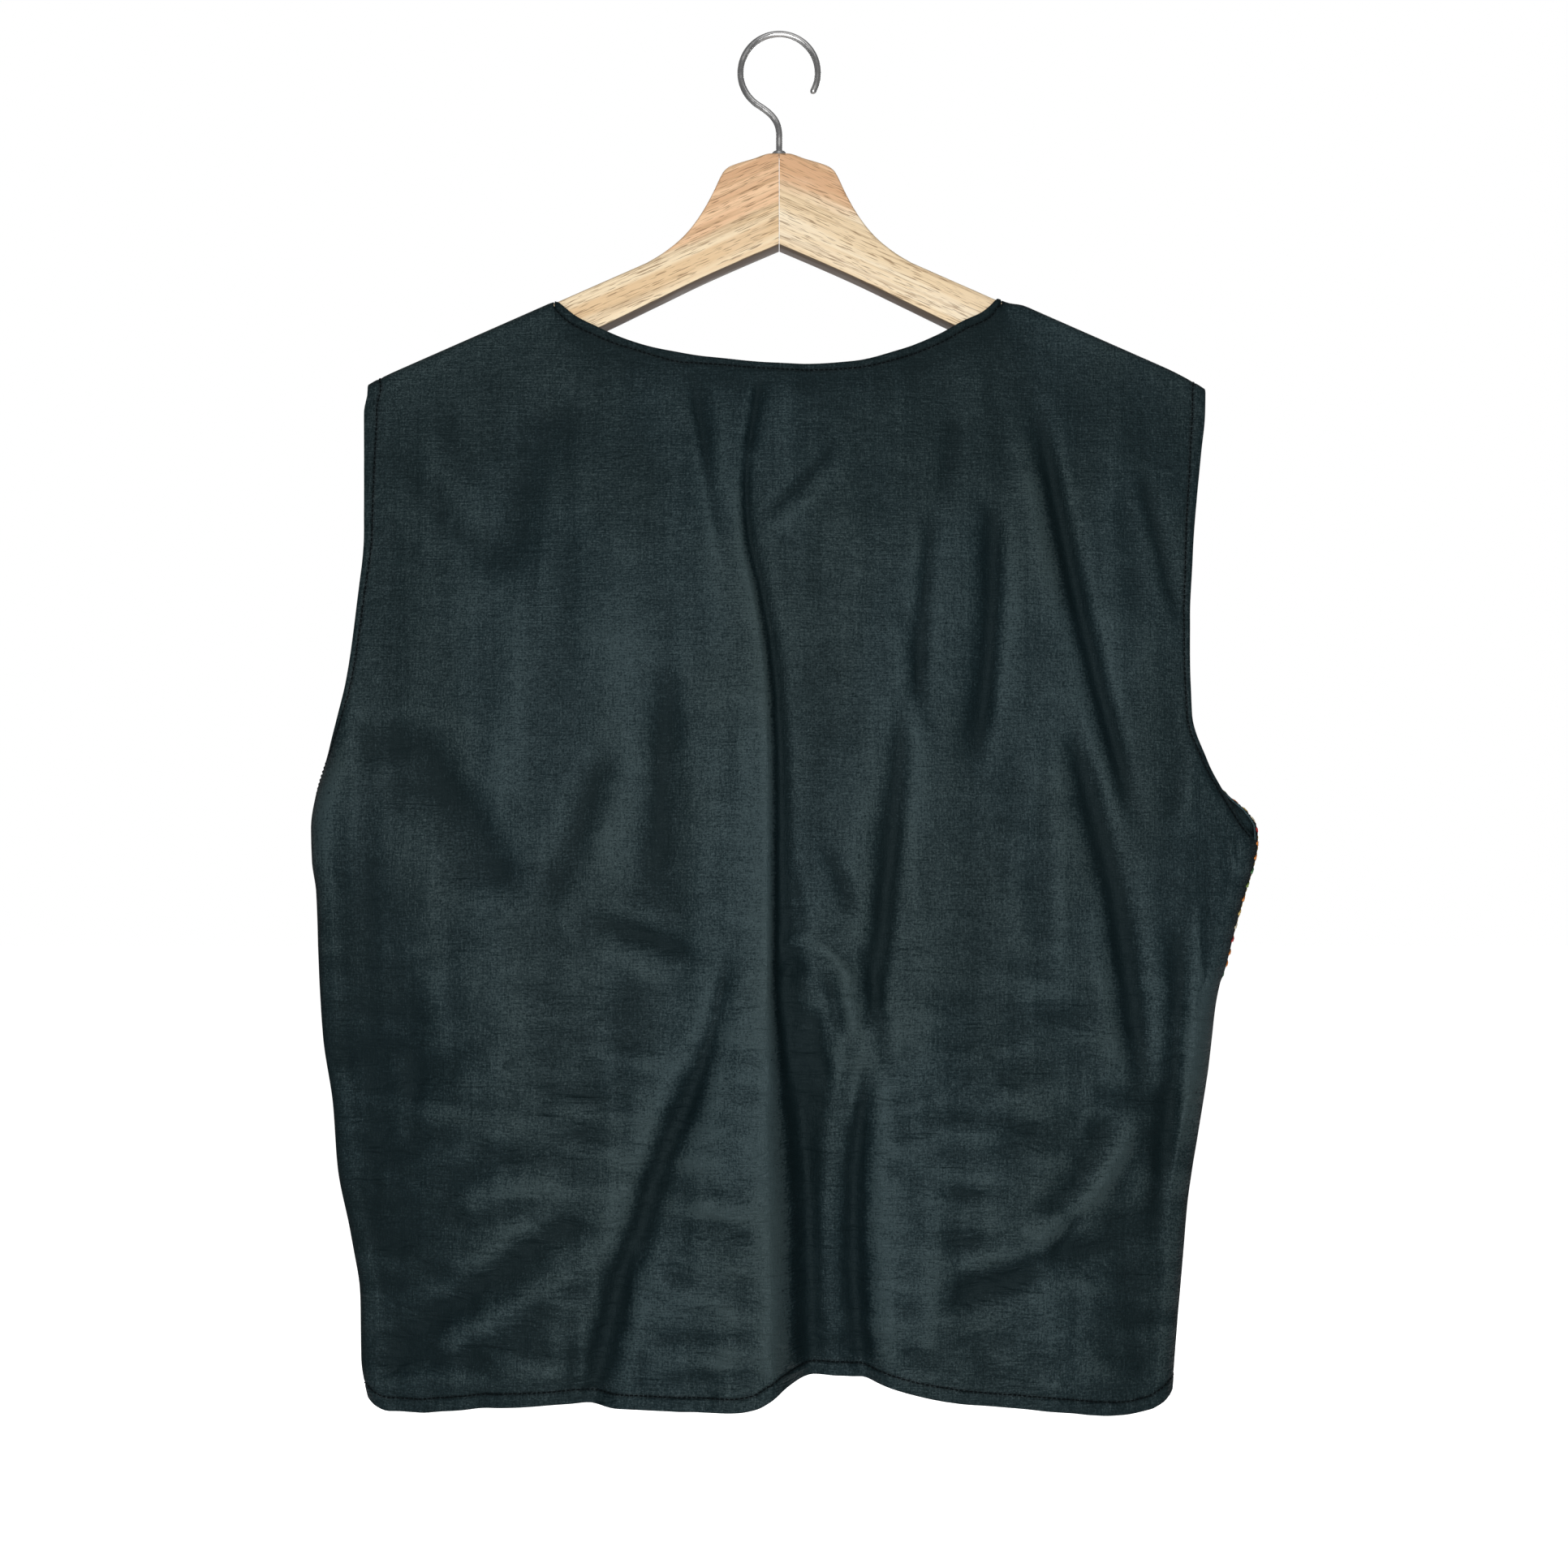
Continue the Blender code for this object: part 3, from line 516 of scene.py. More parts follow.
# Tulips and leaves: half width, height, direction in degrees from straight up, and length
TULIPS = (
    (124, -286, 4, 26), (152, -306, 34, 22), (92, -316, -30, 22), (186, -520, 28, 22), (46, -510, -24, 22),
    (118, -696, 176, 24),
)
LEAVES = (
    (98, -392, -142, 26), (136, -394, 142, 26), (90, -452, -78, 22), (140, -462, 80, 22), (148, -350, 82, 24),
    (84, -354, -84, 22), (101, -466, -30, 22), (124, -474, 34, 22), (80, -580, -66, 24), (140, -574, 62, 24),
    (78, -632, -118, 26), (142, -634, 118, 26), (101, -642, -158, 26), (128, -642, 154, 26),
    (111, -540, -24, 22), (111, -532, 26, 22), (112, -500, -62, 20), (112, -500, 60, 20),
    (166, -650, 84, 20), (68, -664, -84, 18), (176, -578, 150, 24), (54, -566, -150, 24),
    (116, -420, -34, 18), (114, -436, 34, 18),
)
# Stems, each three points that a parabola passes through
STEMS = (
    (116, -386, 112, -430, 112, -500), (76, -424, 86, -456, 112, -486), (164, -428, 146, -460, 113, -486),
    (118, -326, 122, -306, 124, -288), (134, -330, 146, -320, 152, -308), (100, -332, 95, -326, 92, -318),
    (108, -570, 110, -540, 112, -500), (160, -574, 130, -548, 112, -508), (70, -562, 96, -540, 112, -508),
    (184, -542, 187, -532, 186, -522), (48, -532, 45, -522, 46, -512), (112, -638, 117, -670, 118, -694),
    (132, -632, 152, -644, 166, -656), (88, -634, 72, -650, 66, -662), (172, -578, 176, -590, 182, -606),
    (58, -564, 52, -580, 50, -596),
)

# Room, in metres. Softboxes: place, the point that they face, size and power
SOFTBOXES = {
    "key": ((-0.12, -1.9, -0.56), (0, 0, -0.46), 0.55, 26),
    "top": ((0.2, -1.1, 1.3), (0, 0, -0.3), 1.2, 4),
    "rear": ((0.3, 2.3, 0.3), (0, 0, -0.4), 1.6, 30),
}
SURROUND_LIGHT = 0.2
FLOOR_HALF = 9
FLOOR_Z = -1.3
SENSOR_WIDTH = 36
LENS = 42.75
CAMERA_PLACE = (0.0027, -1.05, -0.421)


def through(points, at, column=1):
    """A smooth curve through a table's rows that never overshoots them: piecewise cubics whose slope at
    each row is the harmonic mean of the slopes to its two neighbours."""
    table = np.array(sorted(points, key=lambda row: row[0]), float)
    x, y = table[:, 0], table[:, column]
    step = np.diff(x)
    slope = np.diff(y) / step
    tangent = np.zeros(len(x))
    same_way = slope[:-1] * slope[1:] > 0
    mean = 2 * slope[:-1] * slope[1:] / np.where(same_way, slope[:-1] + slope[1:], 1)
    tangent[1:-1] = np.where(same_way, mean, 0)
    tangent[0], tangent[-1] = slope[0], slope[-1]
    at = np.clip(at, x[0], x[-1])
    i = np.clip(np.searchsorted(x, at) - 1, 0, len(x) - 2)
    t = (at - x[i]) / step[i]
    return (
        y[i] * (1 + 2 * t) * (1 - t) ** 2
        + tangent[i] * step[i] * t * (1 - t) ** 2
        + y[i + 1] * t**2 * (3 - 2 * t)
        + tangent[i + 1] * step[i] * t**2 * (t - 1)
    )


def ramp(low, high, at):
    """0 below low, 1 above high, and a smooth S between them."""
    t = np.clip((at - low) / (high - low), 0, 1)
    return t * t * (3 - 2 * t)


def wood_top(x):
    """Height of the arm's straight top edge."""
    return ARM_LINE_Z - ARM_SLOPE * (np.abs(x) - ARM_LINE_X)


def crest(x):
    """Height of the cloth's middle where it goes over the hanger, drooping past the arm's end and standing
    a little off the right arm."""
    droop = TIP_DROOP * np.maximum(np.abs(x) - TIP_DROOP_FROM, 0) ** 2
    lift = SHOULDER_LIFT * ramp(NECK_X, NECK_X + SHOULDER_LIFT_BLEND, x)
    return wood_top(x) + CLOTH_OVER_WOOD + CLOTH_HALF - droop + lift


def crest_section():
    """The way over the hanger, from its crest down one side: a quarter of a squarish ellipse, then
    straight. Returns matching arrays: the length along it, the drop below the crest, the share of depth."""
    share = np.sin(np.linspace(0, math.pi / 2, 161))
    drop = CREST_DROP * (1 - (1 - share**CREST_POWER) ** (1 / CREST_POWER))
    length = np.concatenate([[0], np.cumsum(np.hypot(np.diff(drop), np.diff(share) * SHOULDER_DEPTH))])
    return (
        np.append(length, length[-1] + FULL_DROP),
        np.append(drop, drop[-1] + FULL_DROP),
        np.append(share, 1.0),
    )


CREST_LENGTH, CREST_FALL, CREST_SHARE = crest_section()


def folds(table, x, z):
    """Sum of soft folds: each follows a parabola through its three points, has a bell-shaped section,
    and fades in at its top and out at its end."""
    total = np.zeros_like(x)
    for x0, z0, x1, z1, x2, z2, left, right, depth in table:
        along = np.clip((z0 - z) / (z0 - z2), 0, 1)
        middle = (z0 - z1) / (z0 - z2)
        bend = (x1 - x0 - (x2 - x0) * middle) / (middle * (middle - 1))
        path = x0 + (x2 - x0) * along + bend * along * (along - 1)
        lean = ((x2 - x0) + bend * (2 * along - 1)) / (z0 - z2)
        away = (x - path) / np.sqrt(1 + lean**2)
        fade = ramp(0, FADE, along)
        off_hem = z2 < OFF_HEM_Z
        if not off_hem:
            fade = fade * (1 - ramp(1 - FADE, 1, along))
        inside = (z <= z0) & ((z >= z2) | off_hem)
        width = np.where(away < 0, left, right)
        total += np.where(inside, depth * fade * np.exp(-((away / width) ** 2)), 0)
    return total


def creases(table, x, z):
    """Sum of small creases: each is a bell across a line from end to end that bows like a parabola, and
    fades in and out along it."""
    total = np.zeros_like(x)
    for x0, z0, x1, z1, bow, width, depth in table:
        length = math.hypot(x1 - x0, z1 - z0)
        way_x, way_z = (x1 - x0) / length, (z1 - z0) / length
        along = ((x - x0) * way_x + (z - z0) * way_z) / length
        away = (z - z0) * way_x - (x - x0) * way_z - 4 * bow * along * (1 - along)
        fade = ramp(*SMALL_FADES_IN, along) * (1 - ramp(*SMALL_FADES_OUT, along))
        total += depth * fade * np.exp(-((away / width) ** 2))
    return total


def uneven(seed, x, z, step_x, step_z):
    """Random relief from -1 to 1: random heights on a lattice, joined by smooth S curves both ways."""
    heights = np.random.default_rng(seed).uniform(-1, 1, (LATTICE, LATTICE))
    u, v = x / step_x + LATTICE / 2, z / step_z + LATTICE * 4
    i, j = np.floor(u).astype(int), np.floor(v).astype(int)
    u, v = u - i, v - j
    u, v = u * u * u * (u * (u * 6 - 15) + 10), v * v * v * (v * (v * 6 - 15) + 10)
    near, far = (
        heights[i % LATTICE, k % LATTICE] * (1 - u) + heights[(i + 1) % LATTICE, k % LATTICE] * u
        for k in (j, j + 1)
    )
    return near * (1 - v) + far * v


def crease(x, z):
    """The step down the middle of the back: a broad ridge that drops into a trough within a few
    millimetres."""
    path, ridge, ridge_width, trough, trough_width, trough_at = (through(CREASE, z, k) for k in range(1, 7))
    away = x - path
    widened = 2 * CREASE_LOW_STEP * ramp(*CREASE_WIDENS, z)
    right = ramp(-CREASE_HALF_STEP, CREASE_HALF_STEP + widened, away)
    left_part = ridge * np.exp(-((np.minimum(away, 0) / ridge_width) ** 2))
    right_part = -trough * np.exp(-(((np.maximum(away, 0) - trough_at) / trough_width) ** 2))
    return left_part * (1 - right) + right_part * right


def stand_off(fullness, x, z):
    """Depth of the layer without folds: the shoulder's, and more lower down, less so towards the sides."""
    below = crest(x) - z
    side = 1 - SIDE_LOSS * np.clip(np.abs(x) / SIDE_LOSS_X, 0, 1) ** 3
    return SHOULDER_DEPTH + through(fullness, below) * side


def crumple(seed, x, z):
    """Fine unevenness of washed cotton: the sum of the CRUMPLE reliefs, where low is 0 in the upper half
    and grows to 1 further down. A negative one takes its relief's size, as dents do."""
    low = ramp(WRINKLES_FROM, WRINKLES_FULL, z)
    total = np.zeros_like(x)
    for k, (lean_x, lean_z, step_x, step_z, share, more) in enumerate(CRUMPLE):
        relief = uneven(seed + k, x + lean_x * z, z + lean_z * x, step_x, step_z)
        total += (share + more * low) * (np.abs(relief) if share < 0 else relief)
    return total


def layer_depth(panel, side, x, z):
    """How far the back or a front stands off the hanger's plane."""
    free = ramp(ARM_COVER, ARM_COVER + FOLDS_GROW, crest(x) - z)
    if panel == "back":
        main = folds(BACK_FOLDS, x, z) + crease(x, z)
        small = creases(BACK_CREASES, x, z) + crumple(SEEDS["back"], x, z)
        soft = ramp(SOFT_FROM, ARM_COVER, crest(x) - z)
        grown = SMALL_AT_SHOULDER * soft + (1 - SMALL_AT_SHOULDER) * free
        return stand_off(BACK_FULLNESS, x, z) + free * main + grown * small
    small = creases(FRONT_CREASES, np.abs(x), z) + crumple(SEEDS[side], x, z)
    return stand_off(FRONT_FULLNESS, x, z) + free * (folds(FRONT_FOLDS[side], x, z) + small)


def edge_line(panel, side, z):
    """Half width of a panel's outline at a height, and the angle at which its edge lies on the rounded
    side."""
    armhole = (BACK_ARMHOLE if panel == "back" else FRONT_ARMHOLE)[side]
    way = 1 if panel == "back" else -1
    seam = way * np.radians(through(BACK_SEAM_ANGLE[side], z))
    sewn = np.array(SIDE[side], float)
    past = np.maximum(way * np.radians(through(BACK_SEAM_ANGLE[side], sewn[:, 0])), 0)
    sewn[:, 1] -= TURN_WIDTH * (1 - np.cos(past))
    outline = armhole + tuple(map(tuple, sewn))
    open_share = ramp(ARMPIT_Z[side], ARMPIT_Z[side] + ARMPIT_BLEND, z)
    angle = seam + (math.radians(FREE_EDGE_ANGLE) - seam) * open_share
    return through(outline, z), angle


def turn_start(panel, side, z):
    """Half width at which a panel's rounded side begins."""
    half_width, edge_angle = edge_line(panel, side, z)
    return half_width - TURN_WIDTH * np.cos(np.maximum(edge_angle, 0))


def side_turn(panel, side, z, share):
    """Points on a panel's rounded side, from its edge (share 0) to where it lies flat (share 1).

    The side is a quarter of an ellipse. An edge past the outermost line lies on the other layer's half,
    and the ellipse is as deep there as that layer. Returns the half width and the depth off the plane."""
    sign = SIGN[side]
    edge_angle = edge_line(panel, side, z)[1] + SEAM_GAP / 2 / TURN_WIDTH
    angle = edge_angle + (math.pi / 2 - edge_angle) * share
    start = turn_start(panel, side, z)
    other = "front" if panel == "back" else "back"
    own_depth = layer_depth(panel, side, sign * start, z)
    other_depth = layer_depth(other, side, sign * turn_start(other, side, z), z)
    depth = np.where(angle > 0, own_depth, other_depth)
    return start + TURN_WIDTH * np.cos(angle), depth * np.sin(angle)


def spaced(depth):
    """A layer's depth, kept half a seam's gap clear of the plane where the shoulder seam lies on it."""
    return np.where(np.abs(depth) < SEAM_GAP / 2, SEAM_GAP / 2, depth)


def spread(start, stop, cells, focus):
    """cells + 1 places from start to stop, closer together near each focus (place, how much, reach): the
    inverse of the density's running sum."""
    fine = np.linspace(start, stop, 4001)
    density = 1 + sum(much * np.exp(-(((fine - at) / reach) ** 2)) for at, much, reach in focus)
    running = np.concatenate([[0], np.cumsum(density[1:] + density[:-1])])
    return np.interp(np.linspace(0, running[-1], cells + 1), running, fine)


def row_lengths(top_drop, hem_drop):
    """Distance down the cloth of every row: close rows in the bands along the top edge and the hem, and
    even ones between them."""
    start = np.interp(top_drop, CREST_FALL, CREST_LENGTH)
    end = np.interp(hem_drop, CREST_FALL, CREST_LENGTH)
    band = BAND_STEP * np.arange(BAND_ROWS + 1)[:, None]
    share = np.linspace(0, 1, BODY_ROWS + 1)[1:-1, None]
    low, high = start + band[-1], end - band[-1]
    return np.vstack([start + band, low + (high - low) * share, end - band[::-1]])


def turn_shares():
    """Where the columns of a rounded side lie, from its edge (0) to just before it lies flat (1)."""
    return np.linspace(0, 1, TURN_CELLS + 1)[:-1]


def back_across(place, z):
    """Places across and depths of the back's points at these heights, from its left edge to its right."""
    left, right = turn_start("back", "left", z[:, :1]), turn_start("back", "right", z[:, -1:])
    x = -left + (left + right) * place
    depth = layer_depth("back", None, x, z)
    for k, share in enumerate(turn_shares()):
        half, depth[:, k] = side_turn("back", "left", z[:, k], share)
        x[:, k] = -half
        x[:, -1 - k], depth[:, -1 - k] = side_turn("back", "right", z[:, -1 - k], share)
    return x, depth


def back_panel():
    """Middle surface of the back, as rows from the top edge to the hem and columns from left to right."""
    left, right = BACK_FLAT
    across = (spread(left, right, BACK_CELLS, BACK_FOCUS) - left) / (right - left)
    turn = turn_shares()
    place = np.concatenate([0 * turn, across, 0 * turn + 1])[None]
    top_x, _ = back_across(place, 0 * place)
    hem_x, _ = back_across(place, 0 * place + SIDE["left"][-1][0])
    neck = np.minimum(through(BACK_NECK, top_x), crest(top_x))
    top_z = np.where(np.abs(top_x) < NECK_X, neck, crest(top_x))
    length = row_lengths(crest(top_x) - top_z, crest(top_x) - through(BACK_HEM, hem_x))
    z = crest(top_x) - np.interp(length, CREST_LENGTH, CREST_FALL)
    over = np.interp(length, CREST_LENGTH, CREST_SHARE)
    x, depth = back_across(place, z)
    return np.stack([x, -spaced(depth * over), z], axis=2)


def front_across(side, place, z):
    """Half widths and depths of a front's points at these heights, from its front edge out to the side."""
    inner, outer = through(FRONT_EDGE, z[:, :1]), turn_start("front", side, z[:, -1:])
    x = inner + (outer - inner) * place
    depth = layer_depth("front", side, SIGN[side] * x, z)
    for k, share in enumerate(turn_shares()):
        x[:, -1 - k], depth[:, -1 - k] = side_turn("front", side, z[:, -1 - k], share)
    return x, depth


def front_panel(side):
    """Middle surface of a front, as rows from the shoulder to the hem and columns from its front edge
    out."""
    across = spread(0, 1, FRONT_CELLS, FRONT_FOCUS)
    place = np.concatenate([across, 0 * turn_shares() + 1])[None]
    top_x, _ = front_across(side, place, 0 * place)
    hem_x, _ = front_across(side, place, 0 * place + SIDE[side][-1][0])
    hem_z = (
        FRONT_HEM_Z
        + (FRONT_HEM_SIDE_Z[side] - FRONT_HEM_Z) * ramp(FRONT_HEM_FALL_FROM, 1, place)
        + FRONT_CORNER_RISE * np.exp(-((hem_x / FRONT_CORNER_WIDTH) ** 2))
    )
    top_z = crest(SIGN[side] * top_x)
    length = row_lengths(0 * top_x, top_z - hem_z)
    z = top_z - np.interp(length, CREST_LENGTH, CREST_FALL)
    over = np.interp(length, CREST_LENGTH, CREST_SHARE)
    x, depth = front_across(side, place, z)
    return np.stack([SIGN[side] * x, spaced(depth * over), z], axis=2)


def unit(vectors):
    """The vectors at length one."""
    return vectors / np.maximum(np.linalg.norm(vectors, axis=-1, keepdims=True), 1e-9)


def grid_normals(grid):
    """Unit normals of a grid of points, from the differences between neighbours."""
    return unit(np.cross(np.gradient(grid, axis=0), np.gradient(grid, axis=1)))


def arc(grid, axis):
    """Length along the grid's rows (axis 1) or columns (axis 0), from their start."""
    step = np.linalg.norm(np.diff(grid, axis=axis), axis=2)
    pad = ((1, 0), (0, 0)) if axis == 0 else ((0, 0), (1, 0))
    return np.pad(np.cumsum(step, axis), pad)


def edge_distances(grid):
    """Distance of every grid point from the grid's four edges, measured along the cloth: top, hem, first
    and last column. Length along a row or column times the sine of its angle to the edge."""
    down, across = arc(grid, 0), arc(grid, 1)

    def square_on(edge, inner):
        """Sine of the angle between an edge and the line in to the points beside it."""
        return np.linalg.norm(np.cross(unit(np.gradient(edge, axis=0)), unit(inner - edge)), axis=1)

    return (
        down * square_on(grid[0], grid[6]),
        (down[-1] - down) * square_on(grid[-1], grid[-7]),
        across * square_on(grid[:, 0], grid[:, 6])[:, None],
        (across[:, -1:] - across) * square_on(grid[:, -1], grid[:, -7])[:, None],
    )


def sample(field, row, column):
    """A field's values at fractional rows and columns, linear between grid points."""
    i = np.clip(np.floor(row).astype(int), 0, field.shape[0] - 2)
    j = np.clip(np.floor(column).astype(int), 0, field.shape[1] - 2)
    u, v = (row - i)[:, None], (column - j)[:, None]
    top = field[i, j] * (1 - v) + field[i, j + 1] * v
    return top * (1 - u) + (field[i + 1, j] * (1 - v) + field[i + 1, j + 1] * v) * u


def where_reached(distance, target):
    """For each line of distances that grow along axis 1, the fractional index at which target is met."""
    k = np.clip((distance < target[:, None]).sum(axis=1), 1, distance.shape[1] - 1)
    line = np.arange(len(distance))
    before, after = distance[line, k - 1], distance[line, k]
    return k - 1 + np.clip((target - before) / np.maximum(after - before, 1e-9), 0, 1)


def tube_faces(count, stations, around):
    """Faces of closed tubes whose points run tube after tube and ring after ring: quads between
    neighbours, then a cap over every first ring and over every last one."""
    ring = np.arange(stations * around).reshape(stations, around)
    after = np.roll(ring, -1, axis=1)
    quads = np.stack([ring[:-1], ring[1:], after[1:], after[:-1]], axis=2).reshape(-1, 4)
    first = (np.arange(count) * stations * around)[:, None, None]
    faces = []
    for part in (quads, ring[:1], ring[-1:, ::-1]):
        faces += (part[None] + first).reshape(-1, part.shape[1]).tolist()
    return faces


def add_mesh(name, points, faces, finish, smooth_angle=None):
    """A mesh object at the origin, from points in millimetres."""
    mesh = bpy.data.meshes.new(name)
    mesh.from_pydata((np.asarray(points, float) * MM).tolist(), [], faces)
    mesh.validate()
    mesh.shade_smooth()
    if smooth_angle:
        mesh.set_sharp_from_angle(angle=math.radians(smooth_angle))
    mesh.materials.append(finish)
    made = bpy.data.objects.new(name, mesh)
    bpy.context.scene.collection.objects.link(made)
    return made


def add_value(piece, name, values):
    """A number, a place or a colour for every point of a piece, for its material to read."""
    values = np.asarray(values, np.float32)
    kind, key = {1: ("FLOAT", "value"), 3: ("FLOAT_VECTOR", "vector"), 4: ("FLOAT_COLOR", "color")}[
        1 if values.ndim == 1 else values.shape[1]
    ]
    piece.data.attributes.new(name, kind, "POINT").data.foreach_set(key, values.ravel())


def blurred(field, cells):
    """A field averaged over a square of cells either way, by differences of its running sums."""
    for axis in (0, 1):
        width = [(0, 0), (0, 0)]
        width[axis] = (cells + 1, cells)
        total = np.cumsum(np.pad(field, width, mode="edge"), axis=axis)
        count = field.shape[axis]
        high = np.take(total, range(2 * cells + 1, 2 * cells + 1 + count), axis=axis)
        low = np.take(total, range(count), axis=axis)
        field = (high - low) / (2 * cells + 1)
    return field


def laid_flat(grid, turns):
    """Place across of every point once the cloth is laid flat: its own place across on the flat part, and
    from there the length of cloth round the side. turns are the columns in the sides at either end."""
    across = grid[..., 0].copy()
    way = np.sign(across[:, -1:] - across[:, :1])
    step = np.linalg.norm(np.diff(grid, axis=1), axis=2) * way
    first, last = turns
    if first:
        across[:, :first] = across[:, first:first + 1] - np.cumsum(step[:, :first][:, ::-1], axis=1)[:, ::-1]
    if last:
        across[:, -last:] = across[:, -last - 1:-last] + np.cumsum(step[:, -last:], axis=1)
    return across


def cloth(name, grid, turned, lines, finish, turns, shade=0.0):
    """A closed shell of cloth round a grid's surface.

    Half its thickness is CLOTH_HALF in the bands where an edge is turned in and stitched, less elsewhere,
    with a groove along each stitch line. turned is the distance past the band's stitches, lines are the
    distances from each stitch line, and the rim bulges out in a half round. Its points carry how far they
    stand proud of those around them, from which the finish paints shade in hollows and paler ridges, less
    shade, which is painted shade (+) and painted highlight (-); a painted shadow along the stitch lines;
    and where they lie once the cloth is laid flat."""
    normal = grid_normals(grid)
    band = ramp(BAND_SOFTNESS, -BAND_SOFTNESS, turned)
    groove = sum(GROOVE * np.exp(-((line / GROOVE_WIDTH) ** 2)) for line in lines)
    half = CLOTH_HALF - BAND_RISE * (1 - band) - groove
    outer = grid + normal * half[..., None]
    inner = grid - normal * (CLOTH_HALF - BAND_RISE * (1 - band))[..., None]
    rows, columns = grid.shape[:2]
    index = np.arange(rows * columns).reshape(rows, columns)
    cell = (index[:-1, :-1], index[1:, :-1], index[1:, 1:], index[:-1, 1:])
    layer = np.stack([corner.ravel() for corner in cell], axis=1)
    rim = np.concatenate([index[:-1, 0], index[-1, :-1], index[:0:-1, -1], index[0, :0:-1]])
    inward = np.concatenate([index[:-1, 1], index[-2, :-1], index[:0:-1, -2], index[1, :0:-1]])
    points = grid.reshape(-1, 3)
    bulge = points[rim] + unit(points[rim] - points[inward]) * CLOTH_HALF * RIM_BULGE
    count = rows * columns
    ring = 2 * count + np.arange(len(rim))
    after, ring_after = np.roll(rim, -1), np.roll(ring, -1)
    faces = np.concatenate([
        layer,
        layer[:, ::-1] + count,
        np.stack([rim, ring, ring_after, after], axis=1),
        np.stack([ring, rim + count, after + count, ring_after], axis=1),
    ])
    shell = np.concatenate([outer.reshape(-1, 3), inner.reshape(-1, 3), bulge])
    made = add_mesh(name, shell, faces.tolist(), finish)

    def give(key, field, inside=None):
        """A field for both faces, or for the outer one with a value of its own for the inner one."""
        flat = field.reshape(count, -1)
        within = flat if inside is None else np.full_like(flat, inside)
        add_value(made, key, np.concatenate([flat, within, within[rim]]).squeeze())

    depth = np.abs(grid[..., 1])
    # How far each point stands proud of those around it, which the finish paints as shade in the hollows and
    # paler ridges
    relief = sum(
        share * np.clip((depth - blurred(depth, cells)) / height, -1, 1)
        for cells, height, share in RELIEF_SCALES
    )
    # The relief less the painted shade (+) and painted highlight (-)
    give("relief", relief * ramp(*RELIEF_PAST_BAND, turned) - shade, 0.0)
    # 1 on the wrong side, which the finish paints paler as painted light
    give("wrong_side", 0 * depth, 1.0)
    give("band", band)
    # Painted shadow along the stitch lines
    give("seam", sum(np.exp(-((line / SEAM_SHADE_WIDTH) ** 2)) for line in lines), 0.0)
    below = crest(grid[..., 0]) - grid[..., 2]
    level = grid[..., 2] + np.maximum(SHOULDER_DEPTH - depth, 0) * ramp(*OVER_SHOULDER, below)
    give("laid", np.stack([laid_flat(grid, turns), 0 * level, level], axis=2) * MM)
    return made, outer


def threads(name, middle, normal, width, height, colour, finish):
    """Stitches as closed little rolls of thread, a few dozen faces each.

    A roll follows its middle points and rises off them like half a sine. Its section is an ellipse of the
    given width and height that narrows towards both ends as a root of a parabola."""
    count, along = middle.shape[:2]
    around = THREAD_SIDES
    normal = np.broadcast_to(normal.reshape(count, -1, 3), middle.shape)
    side = unit(np.cross(np.gradient(middle, axis=1), normal))
    t = np.linspace(0, 1, along)
    swell = np.sqrt(np.clip(1 - (2 * THREAD_TAPER * t - THREAD_TAPER) ** 2, 0, 1))
    turn = np.linspace(0, 2 * math.pi, around, endpoint=False) + THREAD_TURN
    middle = middle + normal * (height[:, None] * THREAD_ARCH * np.sin(math.pi * t))[..., None]
    across = side[:, :, None] * (width[:, None, None] / 2 * swell[None, :, None] * np.cos(turn))[..., None]
    raised = normal[:, :, None] * (height[:, None, None] / 2 * swell[None, :, None] * np.sin(turn))[..., None]
    points = middle[:, :, None] + across + raised
    made = add_mesh(name, points.reshape(-1, 3), tube_faces(count, along, around), finish)
    tint = np.concatenate([colour, np.ones((count, 1))], axis=1)
    add_value(made, "thread_colour", np.repeat(tint, along * around, axis=0))
    return made


def run_length(line):
    """Length along a line of points, from its start."""
    return np.concatenate([[0], np.cumsum(np.linalg.norm(np.diff(line, axis=0), axis=1))])


def at_lengths(at, length, line):
    """A line's values at lengths along it, linear between its points."""
    return np.stack([np.interp(at, length, column) for column in line.T], axis=-1)


def topstitch(name, runs, finish):
    """Topstitching along lines of points and normals on the cloth: a stitch in each pitch, then a gap."""
    middles, normals = [], []
    for points, facing in runs:
        length = run_length(points)
        first = np.arange(STITCH_PITCH / 2, length[-1] - STITCH_PITCH, STITCH_PITCH)
        at = first[:, None] + STITCH_PITCH * STITCH_SHARE * np.linspace(0, 1, 4)
        middles.append(at_lengths(at, length, points))
        normals.append(at_lengths(at, length, facing))
    middle, normal = np.concatenate(middles), unit(np.concatenate(normals))
    count = len(middle)
    width, height = np.full(count, STITCH_WIDTH), np.full(count, STITCH_HEIGHT)
    return threads(name, middle, normal, width, height, np.tile(DARK_THREAD, (count, 1)), finish)


# Finishes


